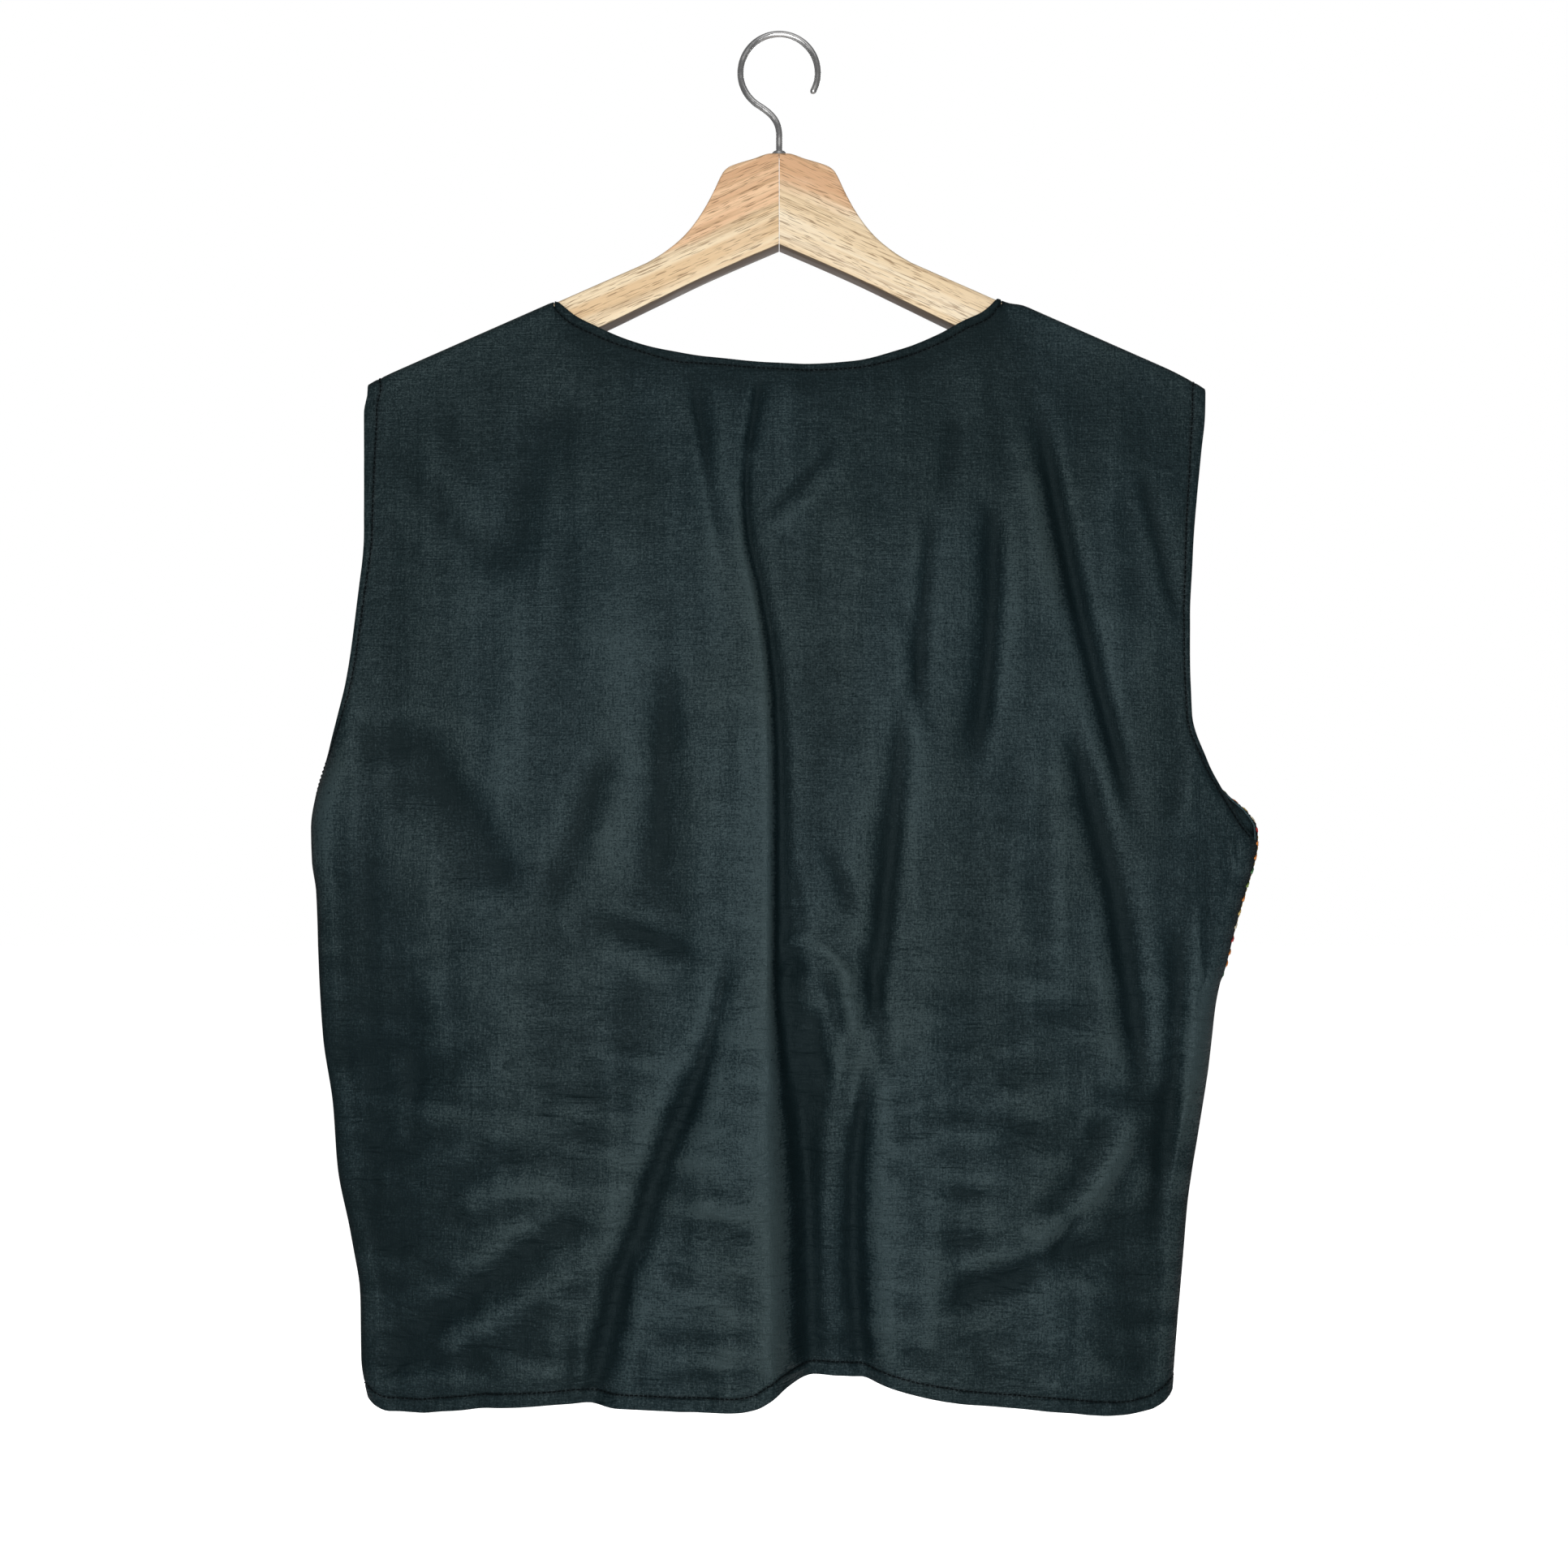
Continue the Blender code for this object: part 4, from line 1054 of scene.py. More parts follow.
class Finish:
    """A material under construction: short ways to add nodes and join them."""

    def __init__(self, name, roughness, **settings):
        self.material = bpy.data.materials.new(name)
        self.material.use_nodes = True
        self.tree = self.material.node_tree
        self.shader = self.tree.nodes["Principled BSDF"]
        self.surface(Roughness=roughness, **settings)
        self.place = self.node("TexCoord").outputs["Object"]

    def node(self, kind, **settings):
        """A new node of a kind, with its settings."""
        made = self.tree.nodes.new("ShaderNode" + kind)
        for key, value in settings.items():
            setattr(made, key, value)
        return made

    def put(self, socket, value):
        """Links a node's output to a socket, or sets the socket to a value."""
        if isinstance(value, bpy.types.NodeSocket):
            self.tree.links.new(value, socket)
        else:
            socket.default_value = value

    def surface(self, **inputs):
        """The finished material, with a value or a link for each named input of its shader."""
        for socket, value in inputs.items():
            self.put(self.shader.inputs[socket.replace("_", " ")], value)
        return self.material

    def math(self, operation, a, b=0.0, clamp=False):
        """The result of an operation on two numbers."""
        made = self.node("Math", operation=operation, use_clamp=clamp)
        self.put(made.inputs[0], a)
        self.put(made.inputs[1], b)
        return made.outputs[0]

    def mapped(self, scale, rotation=(0, 0, 0), location=(0, 0, 0)):
        """The finish's coordinates, stretched, turned and shifted."""
        made = self.node("Mapping")
        self.put(made.inputs["Vector"], self.place)
        made.inputs["Scale"].default_value = scale
        made.inputs["Rotation"].default_value = rotation
        made.inputs["Location"].default_value = location
        return made.outputs[0]

    def noise(self, vector, scale, detail=2.0, roughness=0.5, distortion=0.0):
        """Smooth noise from 0 to 1."""
        made = self.node("TexNoise")
        self.put(made.inputs["Vector"], vector)
        settings = {"Scale": scale, "Detail": detail, "Roughness": roughness, "Distortion": distortion}
        for key, value in settings.items():
            made.inputs[key].default_value = value
        return made.outputs[0]

    def steps(self, value, low, high, to_low=0.0, to_high=1.0):
        """A smooth S from one value at low to another at high."""
        made = self.node("MapRange")
        made.interpolation_type = "SMOOTHSTEP"
        for key, given in zip(range(5), (value, low, high, to_low, to_high)):
            self.put(made.inputs[key], given)
        return made.outputs[0]

    def mix(self, factor, a, b, blend="MIX"):
        """Two colours, mixed or blended by a factor."""
        made = self.node("Mix", data_type="RGBA", blend_type=blend)
        self.put(made.inputs[0], factor)
        self.put(made.inputs[6], a if isinstance(a, bpy.types.NodeSocket) else (*a, 1))
        self.put(made.inputs[7], b if isinstance(b, bpy.types.NodeSocket) else (*b, 1))
        return made.outputs[2]

    def read(self, name, output="Fac"):
        """A named attribute of the piece."""
        return self.node("Attribute", attribute_name=name).outputs[output]

    def bump(self, height, distance, under=None):
        """A normal that a height tilts, on top of another normal."""
        made = self.node("Bump")
        self.put(made.inputs["Height"], height)
        made.inputs["Distance"].default_value = distance
        if under is not None:
            self.put(made.inputs["Normal"], under)
        return made.outputs[0]


def cotton(name, deep, mid, pale, wrong_side, roughness, gloss):
    """Slubby plain-weave cotton: a base colour with painted shade in the hollows and a painted shadow along
    the stitching, paler on the ridges partly by wash fading and partly as painted highlight, with the
    painted shade and highlight that a piece carries in its relief, clouded by washing, with slubs along the
    weft, fainter ones along the warp, and the weave's grain. The cloth's wrong side, inside the vest, has a
    colour of its own, painted paler as painted light. The patterns lie on the cloth as it is laid flat."""
    f = Finish(name, roughness, Specular_IOR_Level=gloss, Specular_Tint=(0.72, 0.95, 1.0, 1.0))
    f.place = f.read("laid", "Vector")
    # Tone: painted shade in hollows and paler ridges, part wash fading and part painted highlight, from the
    # relief, then the weave's noises
    tone = f.math("ADD", f.math("MULTIPLY", f.read("relief"), RELIEF_SHADE_AND_FADE), 0.5)
    weave = {}
    for key, (stretch, shift, scale, detail, rough, share) in WEAVE.items():
        weave[key] = f.noise(f.mapped(stretch, location=shift), scale, detail, rough)
        tone = f.math("ADD", tone, f.math("MULTIPLY", f.math("SUBTRACT", weave[key], 0.5), share))
    low = f.mix(f.steps(tone, -0.1, 0.5), deep, mid)
    colour = f.mix(f.steps(tone, 0.5, 1.35), low, pale)
    drift = f.noise(f.mapped((1.3, 1, 0.8), location=(6, 6, 2)), 9, 2, 0.5)
    browner = f.mix(1.0, colour, (1.0, 0.86, 0.70), "MULTIPLY")
    colour = f.mix(f.steps(drift, 0.4, 0.6, 0, 0.25), colour, browner)
    nep = f.noise(f.mapped((1, 1, 1), location=(2, 9, 6)), 330, 0)
    colour = f.mix(f.steps(nep, 0.80, 0.83, 0, 0.8), colour, deep)
    # Painted shadow along the stitch lines, towards a quarter of the deep colour
    seam = f.math("MULTIPLY", f.read("seam"), 0.8, clamp=True)
    colour = f.mix(seam, colour, tuple(0.25 * part for part in deep))
    # The wrong side's colour, painted paler as painted light, varied by the weave
    inside = f.mix(f.steps(tone, 0.0, 1.0, 0.6, 1.0), (0.0, 0.0, 0.0), wrong_side)
    fine = weave["weft"]
    for key in ("weft_long", "warp", "grain"):
        fine = f.math("ADD", fine, weave[key])
    pucker = f.math("MULTIPLY", f.noise(f.place, 170, 1, 0.4), f.read("band"))
    normal = f.bump(pucker, 0.0014)
    normal = f.bump(f.noise(f.mapped((1, 1, 0.8), location=(4, 4, 1)), 95, 3, 0.6), 0.0009, under=normal)
    parts = f.node("SeparateXYZ")
    f.put(parts.inputs[0], f.place)
    low = f.steps(parts.outputs[2], -0.40, -0.62, 0.25, 1.0)
    wrinkle = f.noise(f.mapped((34, 1, 120), (0, 0.22, 0)), 1, 2, 0.45, 0.6)
    across = f.math("MULTIPLY", f.math("ABSOLUTE", f.math("SUBTRACT", wrinkle, 0.5)), low)
    normal = f.bump(across, 0.0034, under=normal)
    return f.surface(
        Base_Color=f.mix(f.read("wrong_side"), colour, inside),
        Roughness=f.steps(tone, -0.1, 0.6, 0.6, roughness),
        Normal=f.bump(fine, 0.0003, under=normal),
    )


def thread_finish(name, roughness, gloss, sheen):
    """Stranded thread in each stitch's own colour, darker and paler in patches along it."""
    f = Finish(name, roughness, Specular_IOR_Level=gloss, Sheen_Weight=sheen)
    shade = f.noise(f.place, 900, 2, 0.6)
    own = f.read("thread_colour", "Color")
    darker = f.mix(0.25, own, (0.0, 0.0, 0.0))
    return f.surface(
        Base_Color=f.mix(f.steps(shade, 0.35, 0.65), darker, own),
        Normal=f.bump(f.noise(f.place, 2600, 1, 0.5), 0.00012),
    )


def wood(side):
    """Oiled pale wood: grain that runs along the arm, soft growth bands, short dark pores, and a pinker
    tan in the neck above a line along the grain. The faces that look down get painted shade, dark brown."""
    f = Finish(f"pale_wood_{side}", 0.5, Specular_IOR_Level=0.35)
    moved = {"left": (0.3, 0.2, 0.1), "right": (0.9, 0.4, 0.5)}[side]
    f.place = f.mapped((SIGN[side], 1, 1), (0, -math.atan(ARM_SLOPE), 0), moved)
    bands, lines, pores, cloud = (f.noise(f.mapped(stretch), 1, *rest) for stretch, *rest in WOOD_GRAIN)
    parts = f.node("SeparateXYZ")
    f.put(parts.inputs[0], f.place)
    height = f.math("ADD", parts.outputs[2], f.math("MULTIPLY", f.math("SUBTRACT", cloud, 0.5), 0.008))
    split, below, above = {"left": (-0.0885, 0.0012, 0.0022), "right": (-0.077, 0.006, 0.006)}[side]
    split += moved[2]
    neck = f.steps(height, split - below, split + above)
    dark_cream, light_cream = {
        "left": ((0.80, 0.57, 0.33), (0.92, 0.75, 0.51)), "right": ((0.86, 0.67, 0.43), (0.98, 0.85, 0.64)),
    }[side]
    cream = f.mix(f.steps(bands, 0.4, 0.6), dark_cream, light_cream)
    tan = f.mix(f.steps(bands, 0.4, 0.6), (0.72, 0.43, 0.24), (0.92, 0.62, 0.38))
    colour = f.mix(neck, cream, tan)
    colour = f.mix(f.steps(lines, 0.5, 0.66, 0, 0.42), colour, (0.40, 0.24, 0.11))
    colour = f.mix(f.steps(pores, 0.56, 0.68, 0, 0.72), colour, (0.24, 0.13, 0.055))
    colour = f.mix(f.steps(cloud, 0.5, 0.8, 0, 0.25), colour, (0.90, 0.72, 0.52))
    # Painted shade: dark brown on the faces that look down
    colour = f.mix(f.read("underside"), colour, (0.11, 0.064, 0.032))
    return f.surface(
        Base_Color=colour,
        Roughness=f.steps(lines, 0.3, 0.7, 0.44, 0.58),
        Normal=f.bump(f.math("ADD", pores, f.math("MULTIPLY", lines, 0.6)), 0.00012),
    )


def steel():
    """Plated steel wire with faint drawing marks and dulled patches."""
    f = Finish("steel_wire", 0.25, Metallic=1.0)
    dull = f.noise(f.place, 120, 3, 0.6)
    return f.surface(
        Base_Color=f.mix(dull, (0.50, 0.50, 0.51), (0.74, 0.73, 0.71)),
        Roughness=f.steps(dull, 0.35, 0.7, 0.18, 0.42),
        Normal=f.bump(f.noise(f.mapped((900, 900, 120)), 1, 2), 0.00003),
    )


# Hanger


def hanger_arm(side):
    """One arm: rounded rectangles, one at each station along it, between its underside and its top edge.
    Past the last straight station both close in on the middle as an ellipse."""
    finish = wood(side)
    straight = spread(MITRE_GAP / 2, ARM_END_X, ARM_CELLS, ARM_FOCUS)
    last = np.sin(np.linspace(0, math.pi / 2, 13)[1:])
    x = np.concatenate([straight, ARM_END_X + ARM_END_REACH * last])
    held = np.minimum(x, ARM_END_X)
    foot = through(ARM_UNDERSIDE, held)
    top = np.where(held < ARM_LINE_X, through(ARM_NECK, held), wood_top(held))
    close = np.sqrt(np.clip(1 - (np.maximum(x - ARM_END_X, 0) / ARM_END_REACH) ** 2, 0.0004, 1))
    middle, half = (top + foot) / 2, (top - foot) / 2 * close
    quarter = np.radians(np.linspace(0, 90, CORNER_POINTS))
    angle = np.concatenate([quarter, quarter + math.pi / 2, quarter + math.pi, quarter + 1.5 * math.pi])
    up, out = np.sin(angle), np.cos(angle)
    corner_up = np.repeat([1, 1, -1, -1], CORNER_POINTS)
    corner_out = np.repeat([1, -1, -1, 1], CORNER_POINTS)
    most = np.where(corner_up > 0, EDGE_ROUND_TOP, EDGE_ROUND_FOOT)
    radius = np.minimum(most[None], half[:, None] * 0.96)
    thick = WOOD_HALF_THICKNESS - ARM_END_THINS * (1 - close[:, None])
    y = corner_out * (thick - radius) + radius * out
    z = middle[:, None] + corner_up * (half[:, None] - radius) + radius * up
    points = np.stack([np.broadcast_to(SIGN[side] * x[:, None], y.shape), y, z], axis=2)
    faces = tube_faces(1, len(x), len(angle))
    if side == "left":
        faces = [face[::-1] for face in faces]
    made = add_mesh(f"arm_{side}", points.reshape(-1, 3), faces, finish, SHARP_ANGLE)
    # Where a face looks down, for the finish's painted shade
    down = np.where(corner_up < 0, ramp(-0.6, -0.9, up), 0)
    add_value(made, "underside", np.tile(down, len(x)))
    return made


def hook():
    """The hook: a round wire along its line, wide at its foot for the collar and rounded at its tip."""
    loop_radius = HOOK_INSIDE_RADIUS + WIRE_RADIUS
    turn = np.radians(np.linspace(HOOK_JOIN_ANGLE, HOOK_TIP_ANGLE, 97))
    loop = loop_radius * np.stack([np.cos(turn), np.sin(turn)], axis=1) - (0, HOOK_INSIDE_RADIUS)
    heading = np.array([math.sin(turn[0]), -math.cos(turn[0])])
    stem_top = np.array([0.0, HOOK_STEM_TOP_Z])
    handles = (stem_top, stem_top + (0, HOOK_BEND_HANDLE), loop[0] - HOOK_BEND_HANDLE * heading, loop[0])
    t = np.linspace(0, 1, 25)[:-1, None]
    weights = ((1 - t) ** 3, 3 * t * (1 - t) ** 2, 3 * t**2 * (1 - t), t**3)
    bend = sum(weight * handle for weight, handle in zip(weights, handles))
    foot = WOOD_TOP_Z + SEAT_GAP
    rise, wide = np.array(COLLAR).T
    line = np.vstack([np.stack([0 * rise, foot + rise], axis=1), bend, loop])
    ahead = unit(np.gradient(line, axis=0))
    ahead[:6] = (0, 1)
    radius = np.concatenate([wide, np.full(len(bend) + len(loop), WIRE_RADIUS)])
    on, narrow = np.array(TIP_DOME).T * WIRE_RADIUS
    line = np.vstack([line, line[-1] + ahead[-1] * on[:, None]])
    ahead = np.vstack([ahead, np.tile(ahead[-1], (len(on), 1))])
    radius = np.concatenate([radius, narrow])[:, None]
    round_it = np.linspace(0, 2 * math.pi, WIRE_CELLS, endpoint=False)
    x = line[:, :1] - radius * np.cos(round_it) * ahead[:, 1:]
    z = line[:, 1:] + radius * np.cos(round_it) * ahead[:, :1]
    rings = np.stack([x, radius * np.sin(round_it), z], axis=2)
    faces = tube_faces(1, len(rings), WIRE_CELLS)
    return add_mesh("hook", rings.reshape(-1, 3), faces, steel(), SHARP_ANGLE)


# Room, light and camera


def softbox(name, place, target, size, power):
    """A square white studio light that faces a point."""
    data = bpy.data.lights.new(name, "AREA")
    data.energy, data.size = power, size
    made = bpy.data.objects.new(name, data)
    made.location = place
    made.rotation_mode = "QUATERNION"
    made.rotation_quaternion = (Vector(target) - Vector(place)).to_track_quat("-Z", "Y")
    made.visible_camera = False
    bpy.context.scene.collection.objects.link(made)


def room():
    """A pale floor, a white surround and soft light from the camera's side."""
    scene = bpy.context.scene
    scene.view_settings.view_transform = "Standard"
    world = bpy.data.worlds.new("surround")
    scene.world = world
    world.use_nodes = True
    nodes, links = world.node_tree.nodes, world.node_tree.links
    back = nodes["Background"]
    path = nodes.new("ShaderNodeLightPath")
    strength = nodes.new("ShaderNodeMapRange")
    strength.inputs["To Min"].default_value = SURROUND_LIGHT
    strength.inputs["To Max"].default_value = 1.0
    links.new(path.outputs["Is Camera Ray"], strength.inputs[0])
    links.new(strength.outputs[0], back.inputs["Strength"])
    back.inputs["Color"].default_value = (1, 1, 1, 1)
    for name, settings in SOFTBOXES.items():
        softbox(name, *settings)
    floor = bpy.data.meshes.new("floor")
    corners = [(x * FLOOR_HALF, y * FLOOR_HALF, FLOOR_Z) for x, y in ((-1, -1), (1, -1), (1, 1), (-1, 1))]
    floor.from_pydata(corners, [], [(0, 1, 2, 3)])
    ground = bpy.data.objects.new("floor", floor)
    scene.collection.objects.link(ground)
    pale = Finish("pale_floor", 0.9, Specular_IOR_Level=0.0)
    ray = pale.node("LightPath").outputs["Is Camera Ray"]
    floor.materials.append(pale.surface(
        Base_Color=(0.8, 0.8, 0.8, 1),
        Emission_Color=(1, 1, 1, 1),
        Emission_Strength=pale.math("MULTIPLY", ray, 0.9),
    ))
    camera = bpy.data.cameras.new("camera")
    camera.sensor_width, camera.lens = SENSOR_WIDTH, LENS
    camera.clip_start, camera.clip_end = 0.05, 60
    eye = bpy.data.objects.new("camera", camera)
    eye.location = CAMERA_PLACE
    eye.rotation_euler = (math.pi / 2, 0, 0)
    scene.collection.objects.link(eye)
    scene.camera = eye


# Embroidery: stitches in the flat pattern of a front, as rows of four points (half width, height)


def plain_stitches(start, end):
    """Straight stitches: four even points from each start to each end."""
    t = np.linspace(0, 1, 4)[None, :, None]
    return np.asarray(start)[:, None] * (1 - t) + np.asarray(end)[:, None] * t


def turned_by(angle, length):
    """Flat steps of a length in a direction, in radians from straight up towards the side."""
    return np.stack([np.sin(angle) * length, np.cos(angle) * length], axis=-1)


def ring_of_satin(middle, inner, outer, petals, start_angle=0.0):
    """Satin stitches round a flower, from the inner radius out to a petalled edge: the outer radius times
    a root of a cosine's size that falls to three quarters between petals."""
    count = int(2 * math.pi * (0.35 * inner + 0.6 * outer) / SATIN_STEP)
    angle = np.arange(count) * 2 * math.pi / count
    edge = outer * (0.72 + 0.28 * np.sqrt(np.abs(np.cos(petals * (angle - start_angle) / 2))))
    return plain_stitches(middle + turned_by(angle, np.full(count, inner)), middle + turned_by(angle, edge))


def knots(places, size):
    """Short fat stitches that read as knots."""
    places = np.asarray(places, float).reshape(-1, 2)
    return plain_stitches(places - (size / 2, 0), places + (size / 2, 0))


def flower_middle(middle, radius):
    """Knots on rings one knot apart, from the middle out."""
    places = []
    for ring in np.arange(0, radius, KNOT_STEP):
        count = max(1, int(2 * math.pi * ring / KNOT_STEP))
        places.append(middle + turned_by(np.arange(count) * 2 * math.pi / count, np.full(count, ring)))
    return knots(np.concatenate(places), KNOT_SIZE)


def leaf(foot, angle, length, width):
    """Fishbone stitches either side of a leaf's rib: each runs from the rib to the edge further along,
    where the half width follows a power of a sine."""
    t = np.linspace(0.0, 1 - LEAF_LEAN, max(3, int(length / SATIN_STEP / 1.1)))
    reach = t + LEAF_LEAN
    half = width / 2 * np.sin(math.pi * np.clip(reach, 0, 0.985)) ** 0.8
    along, across = turned_by(np.array(angle), 1.0), turned_by(np.array(angle + math.pi / 2), 1.0)
    rib = foot + along * (t * length)[:, None]
    edge = foot + along * (reach * length)[:, None]
    return [plain_stitches(rib, edge + across * (sign * half)[:, None]) for sign in (-1, 1)]


def along_line(line, pitch):
    """Even places along a line and the unit direction at each."""
    length = run_length(line)
    at = np.arange(pitch / 2, length[-1], pitch)
    place = at_lengths(at, length, line)
    return at, place, unit(np.gradient(place, axis=0))


def inward_of(way):
    """Flat directions turned a quarter round, which points in from an edge."""
    return way[..., ::-1] * (1, -1)


def stem(line):
    """Stem stitch: overlapping stitches that each cross the line at a slight slant."""
    _, place, way = along_line(line, STEM_PITCH)
    slant = way * STEM_REACH + inward_of(way) * STEM_SLANT
    return plain_stitches(place - slant, place + slant)


def chain(line):
    """Chain stitch: in each pitch two strands that bow apart by half a sine and meet again."""
    _, place, way = along_line(line, CHAIN_PITCH)
    bow = inward_of(way)[:, None] * np.sin(math.pi * np.linspace(0.08, 1, 4))[None, :, None] * CHAIN_BOW
    link = plain_stitches(place - way * CHAIN_PITCH * 0.55, place + way * CHAIN_PITCH * 0.55)
    return np.concatenate([link + bow, link - bow])


def border(line, far):
    """A line moved in from an edge: every point goes the given distance along the inward normal."""
    _, place, way = along_line(line, 1.0)
    even = np.full(2 * BORDER_SMOOTH + 1, 1 / (2 * BORDER_SMOOTH + 1))
    padded = np.pad(way, ((BORDER_SMOOTH, BORDER_SMOOTH), (0, 0)), mode="edge")
    smooth = np.stack([np.convolve(padded[:, k], even, "valid") for k in (0, 1)], axis=1)
    return place + inward_of(unit(smooth)) * np.asarray(far).reshape(-1, 1)


def running_border(edge, add, row_at=EDGE_ROW_AT, reach=EDGE_ROW_REACH):
    """One edge's border: a row of small leaves by the stitching, a chain, and a vine whose stem swings
    like a sine with a small flower in each bay and leaves between them."""
    at, _, way = along_line(edge, 1.0)
    inward = unit(inward_of(way))
    add(chain(border(edge, CHAIN_AT)), "gold", "chain")
    swing = VINE_AT + VINE_SWING * np.sin(2 * math.pi * at / VINE_WAVE)
    add(stem(border(edge, swing)), "green", "vine")
    track = border(edge, VINE_AT)
    for k, spot in enumerate(np.arange(VINE_WAVE / 4, at[-1] - VINE_ENDS, VINE_WAVE / 2)):
        j = int(spot)
        side = 1 if k % 2 == 0 else -1
        heart = track[j] - inward[j] * side * VINE_FLOWER_OUT
        petal, knot = VINE_COLOURS[k % len(VINE_COLOURS)]
        add(ring_of_satin(heart, *VINE_FLOWER, k), petal, "vine_petal")
        add(flower_middle(heart, VINE_HEART), knot, "vine_knot")
        foot = track[min(j + VINE_LEAF_ON, len(track) - 1)] + inward[j] * side
        heading = math.atan2(*way[j])
        for lean, colour in ((VINE_LEAF_LEAN, "lime"), (-VINE_LEAF_LEAN, "green")):
            for half in leaf(foot, heading + lean, *VINE_LEAF):
                add(half[::2], colour, "vine_leaf")
    row = along_line(border(edge, row_at), EDGE_ROW_PITCH)[1:]
    for k, colour in enumerate(EDGE_ROW_COLOURS):
        spots, ways = (part[k::len(EDGE_ROW_COLOURS)] for part in row)
        across = inward_of(ways)
        for lean in (-1, 0, 1):
            outer = spots - ways * EDGE_ROW_SPREAD[0] * lean - across * reach[0]
            inner = spots + ways * EDGE_ROW_SPREAD[1] * lean + across * reach[1]
            add(plain_stitches(outer, inner), colour, "row")


def motifs(add):
    """The chest and skirt bouquets: stems first, then leaves, tulips and big flowers on top."""
    for x0, z0, x1, z1, x2, z2 in STEMS:
        t = np.linspace(0, 1, 40)[:, None]
        ends = np.array([(x0, z0), (x1, z1), (x2, z2)], float)
        line = ends[0] * (1 - t) * (1 - 2 * t) + ends[1] * 4 * t * (1 - t) + ends[2] * t * (2 * t - 1)
        add(stem(line), "green", "stem")
    for x, z, degrees, length in LEAVES:
        left, right = leaf(np.array([x, z], float), math.radians(degrees), length, 0.42 * length)
        add(left, "green", "satin")
        add(right, "lime", "satin")
    for x, z, degrees, length in TULIPS:
        foot, angle = np.array([x, z], float), math.radians(degrees)
        for lean, share, colour in ((-0.42, 0.9, "red"), (0.42, 0.9, "red"), (0.0, 1.0, "orange")):
            for half in leaf(foot, angle + lean, length * share, 0.4 * length):
                add(half, colour, "satin")
    for x, z, radius, petals, outer, inner, heart in FLOWERS:
        middle = np.array([x, z], float)
        add(ring_of_satin(middle, 0.55 * radius, radius, petals), outer, "satin")
        add(ring_of_satin(middle, 0.24 * radius, 0.66 * radius, petals), inner, "inner_satin")
        add(flower_middle(middle, 0.27 * radius), heart, "heart_knot")


def embroidery(side, outer, half_width, finish):
    """A front's embroidery, laid on its outer surface: one piece for its borders and one for its bouquets.

    A lattice over half width and height holds the surface's points and normals, found by straight-line
    interpolation first down each column and then across each row. Every stitch point is looked up there."""
    heights = np.arange(*PATTERN_HEIGHTS, -LATTICE_STEP)
    widths = np.arange(0.0, PATTERN_WIDTH, LATTICE_STEP)
    fields = np.concatenate([outer, grid_normals(outer), half_width[..., None]], axis=2)
    by_height = np.stack([
        np.stack([np.interp(-heights, -outer[:, j, 2], fields[:, j, k]) for k in range(7)], axis=1)
        for j in range(outer.shape[1])
    ], axis=1)
    order = 1 if by_height[0, -1, 6] > by_height[0, 0, 6] else -1
    by_height = by_height[:, ::order]
    lattice = np.stack([
        np.stack([np.interp(widths, row[:, 6], row[:, k]) for k in range(6)], axis=1) for row in by_height
    ])
    ends = [by_height[:, 0], by_height[:, -1]]
    stitches = {"middle": [], "width": [], "height": [], "colour": []}

    def add(flat, colour, kind):
        """Stitches of one kind and colour, kept for the end."""
        width, height = STRAND[kind]
        stitches["middle"].append(flat)
        stitches["width"].append(np.full(len(flat), width))
        stitches["height"].append(np.full(len(flat), height))
        stitches["colour"].append(np.tile(THREAD[colour], (len(flat), 1)))

    hem_z, hem_half = outer[-1, ::order, 2], half_width[-1, ::order]
    front_edge, side_edge = (
        np.stack([end[:, 6], heights], axis=1)[first:][heights[first:] > hem_z[k] + HEM_CLEAR]
        for k, end, first in ((0, ends[0], FRONT_EDGE_FROM), (-1, ends[1], SIDE_EDGE_FROM))
    )
    running_border(front_edge[::-1], add)
    running_border(side_edge, add, SIDE_ROW_AT, SIDE_ROW_REACH)
    running_border(np.stack([hem_half, hem_z], axis=1)[::-1][HEM_ENDS:-HEM_ENDS], add)
    in_borders = sum(len(flat) for flat in stitches["middle"])
    motifs(add)
    flat, width, height, colour = (np.concatenate(part) for part in stitches.values())
    rng = np.random.default_rng(7)
    flat = flat + rng.normal(0, 0.12, flat[:, :1].shape)
    colour = colour * rng.uniform(0.82, 1.08, (len(colour), 1))
    row, column = (heights[0] - flat[..., 1]) / LATTICE_STEP, flat[..., 0] / LATTICE_STEP
    found = sample(lattice, row.ravel(), column.ravel()).reshape(*row.shape, 6)
    points, normal = found[..., :3], unit(found[..., 3:])
    points = points + normal * (height * THREAD_LIFT)[:, None, None]
    parts = {f"border_{side}": slice(0, in_borders), f"embroidery_{side}": slice(in_borders, None)}
    return [
        threads(name, points[part], normal[part], width[part], height[part], colour[part], finish)
        for name, part in parts.items()
    ]


# Putting it together


def from_armhole_line(side, distance, z):
    """Distance from an armhole's stitch line, which ends at the armpit."""
    off = distance - through(ARMHOLE_LINE, z)
    return np.where(z > ARMPIT_Z[side], off, np.hypot(off, z - ARMPIT_Z[side]))


def line_on(grid, outer, row, column):
    """A line on a piece of cloth, from fractional rows and columns: points just off it, and normals."""
    facing = unit(sample(grid_normals(grid), row, column))
    return sample(outer, row, column) + facing * STITCH_LIFT, facing


def hem_line(hem):
    """Rows and columns of the line that keeps HEM_LINE from the hem."""
    up = where_reached(hem[::-1].T, np.full(hem.shape[1], HEM_LINE))
    return hem.shape[0] - 1 - up, np.arange(hem.shape[1], dtype=float)


def upright_line(distance, target, rows, from_first):
    """Rows and columns of a line that keeps a target distance from the first or the last column."""
    at = where_reached(distance if from_first else distance[:, ::-1], target)
    return rows.astype(float), (at if from_first else distance.shape[1] - 1 - at)[rows]


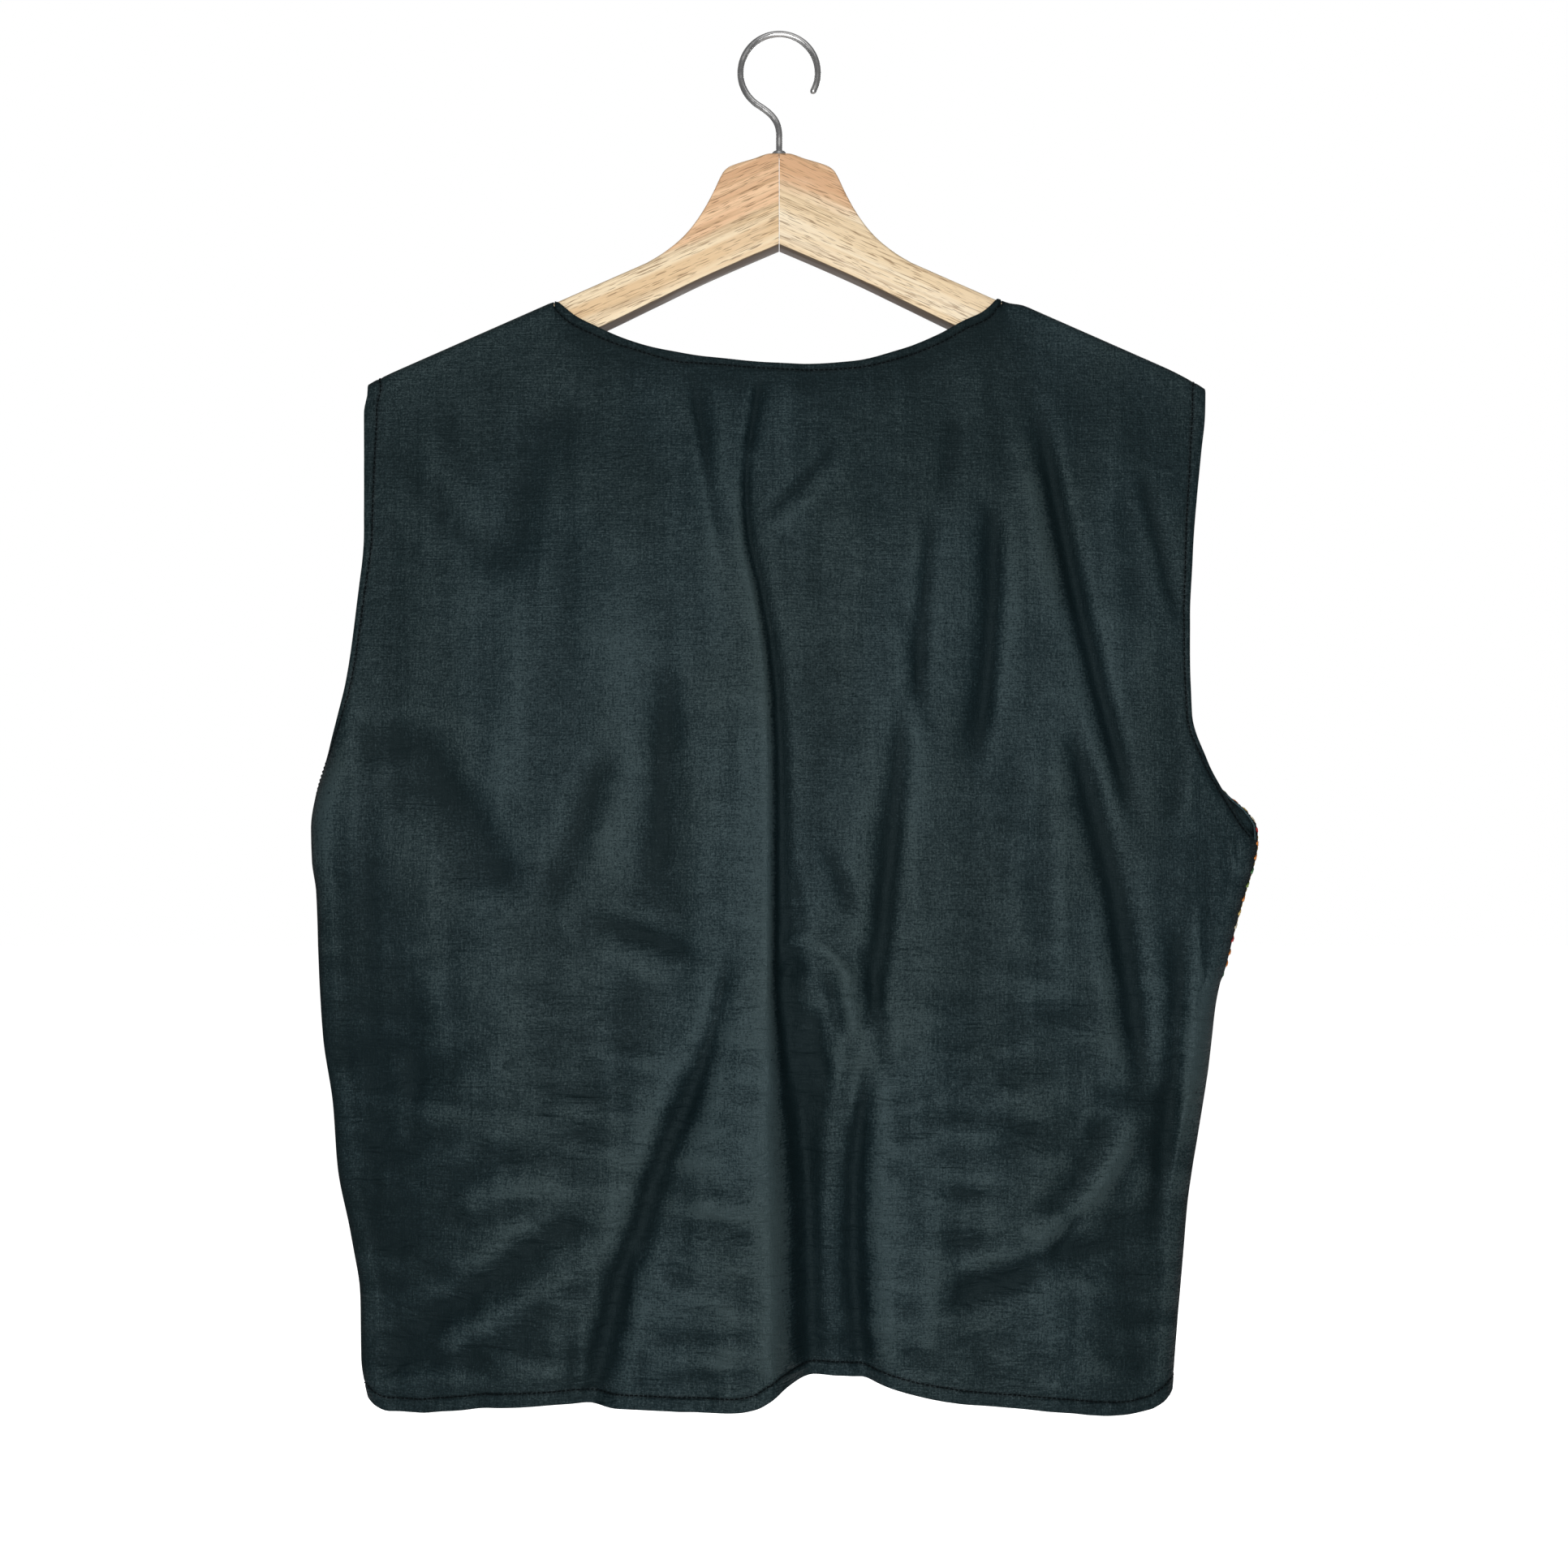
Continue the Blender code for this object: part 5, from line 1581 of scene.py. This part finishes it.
def back_piece(finish, thread):
    """The back, and the topstitching along its neck, armholes and hem. Painted shade and painted
    highlight, a bell round each row of the shade table and one along the neck, darken or lighten its colour."""
    grid = back_panel()
    top, hem, left, right = edge_distances(grid)
    x, z = grid[..., 0], grid[..., 2]
    is_neck = np.abs(x[0]) < NECK_X - 1
    neck_line = through(NECK_LINE, x[0])
    neck = np.where(is_neck[None], top - neck_line, FAR)
    sleeve = {"left": left, "right": right}
    lines = [neck, hem - HEM_LINE, *(from_armhole_line(side, far, z) for side, far in sleeve.items())]
    # Painted shade along the neck, and painted shade or painted highlight round each bell of the table
    shade = NECK_SHADE * np.exp(-((np.maximum(neck, 0) / NECK_SHADE_WIDTH) ** 2))
    for at_x, at_z, across, down, much in PAINTED_SHADE_AND_HIGHLIGHT:
        shade = shade + much * np.exp(-(((x - at_x) / across) ** 2) - ((z - at_z) / down) ** 2)
    made, outer = cloth(
        "back_cloth", grid, np.minimum.reduce(lines), lines, finish, (TURN_CELLS, TURN_CELLS), shade
    )
    columns = np.flatnonzero(is_neck)
    places = [(where_reached(top.T, neck_line)[columns], columns.astype(float)), hem_line(hem)]
    for side, distance in sleeve.items():
        edge_z = z[:, 0 if side == "left" else -1]
        rows = np.flatnonzero(edge_z > ARMPIT_Z[side])
        places.append(upright_line(distance, through(ARMHOLE_LINE, edge_z), rows, side == "left"))
    runs = [line_on(grid, outer, *place) for place in places]
    return made, [topstitch("back_topstitch", runs, thread)]


def front_piece(side, finish, thread, silk):
    """A front, with topstitching along its front edge, armhole and hem, and its embroidery."""
    grid = front_panel(side)
    turns = (0, TURN_CELLS)
    if side == "right":
        grid, turns = grid[:, ::-1], (TURN_CELLS, 0)
    _, hem, first, last = edge_distances(grid)
    is_left = side == "left"
    inner, outside = (first, last) if is_left else (last, first)
    z = grid[..., 2]
    lines = [inner - HEM_LINE, hem - HEM_LINE, from_armhole_line(side, outside, z)]
    made, outer = cloth(f"front_cloth_{side}", grid, np.minimum.reduce(lines), lines, finish, turns)
    edge_z = z[:, -1 if is_left else 0]
    rows = np.arange(FRONT_STITCH_ROW, len(z) - 1)
    places = [
        hem_line(hem),
        upright_line(inner, np.full(len(z), HEM_LINE), rows, is_left),
        upright_line(
            outside, through(ARMHOLE_LINE, edge_z), rows[edge_z[rows] > ARMPIT_Z[side]], not is_left
        ),
    ]
    runs = [line_on(grid, outer, *place) for place in places]
    stitches = topstitch(f"front_topstitch_{side}", runs, thread)
    half_width = SIGN[side] * laid_flat(grid, turns)
    return made, [stitches, *embroidery(side, outer, half_width, silk)]


room()
plain = cotton("plain_cotton_finish", *PLAIN_COTTON)
black = cotton("embroidered_cotton_finish", *BLACK_COTTON)
sewing_thread = thread_finish("sewing_thread", 0.6, 0.05, 0.0)
silk_thread = thread_finish("embroidery_thread", 0.5, 0.4, 0.15)

arms = [hanger_arm(side) for side in ("left", "right")]
for side, arm in zip(("left", "right"), arms):
    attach(arm, "root")
    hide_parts(f"hanger_arm_{side}")
wire = hook()
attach(wire, "root")
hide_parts("hanger_hook")

pieces = {"back": back_piece(plain, sewing_thread)}
for side in ("left", "right"):
    pieces[f"front_{side}"] = front_piece(side, black, sewing_thread, silk_thread)
for name, (cloth_piece, stitched) in pieces.items():
    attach(cloth_piece, "root")
    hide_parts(name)
    for piece in stitched:
        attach(piece, "root")
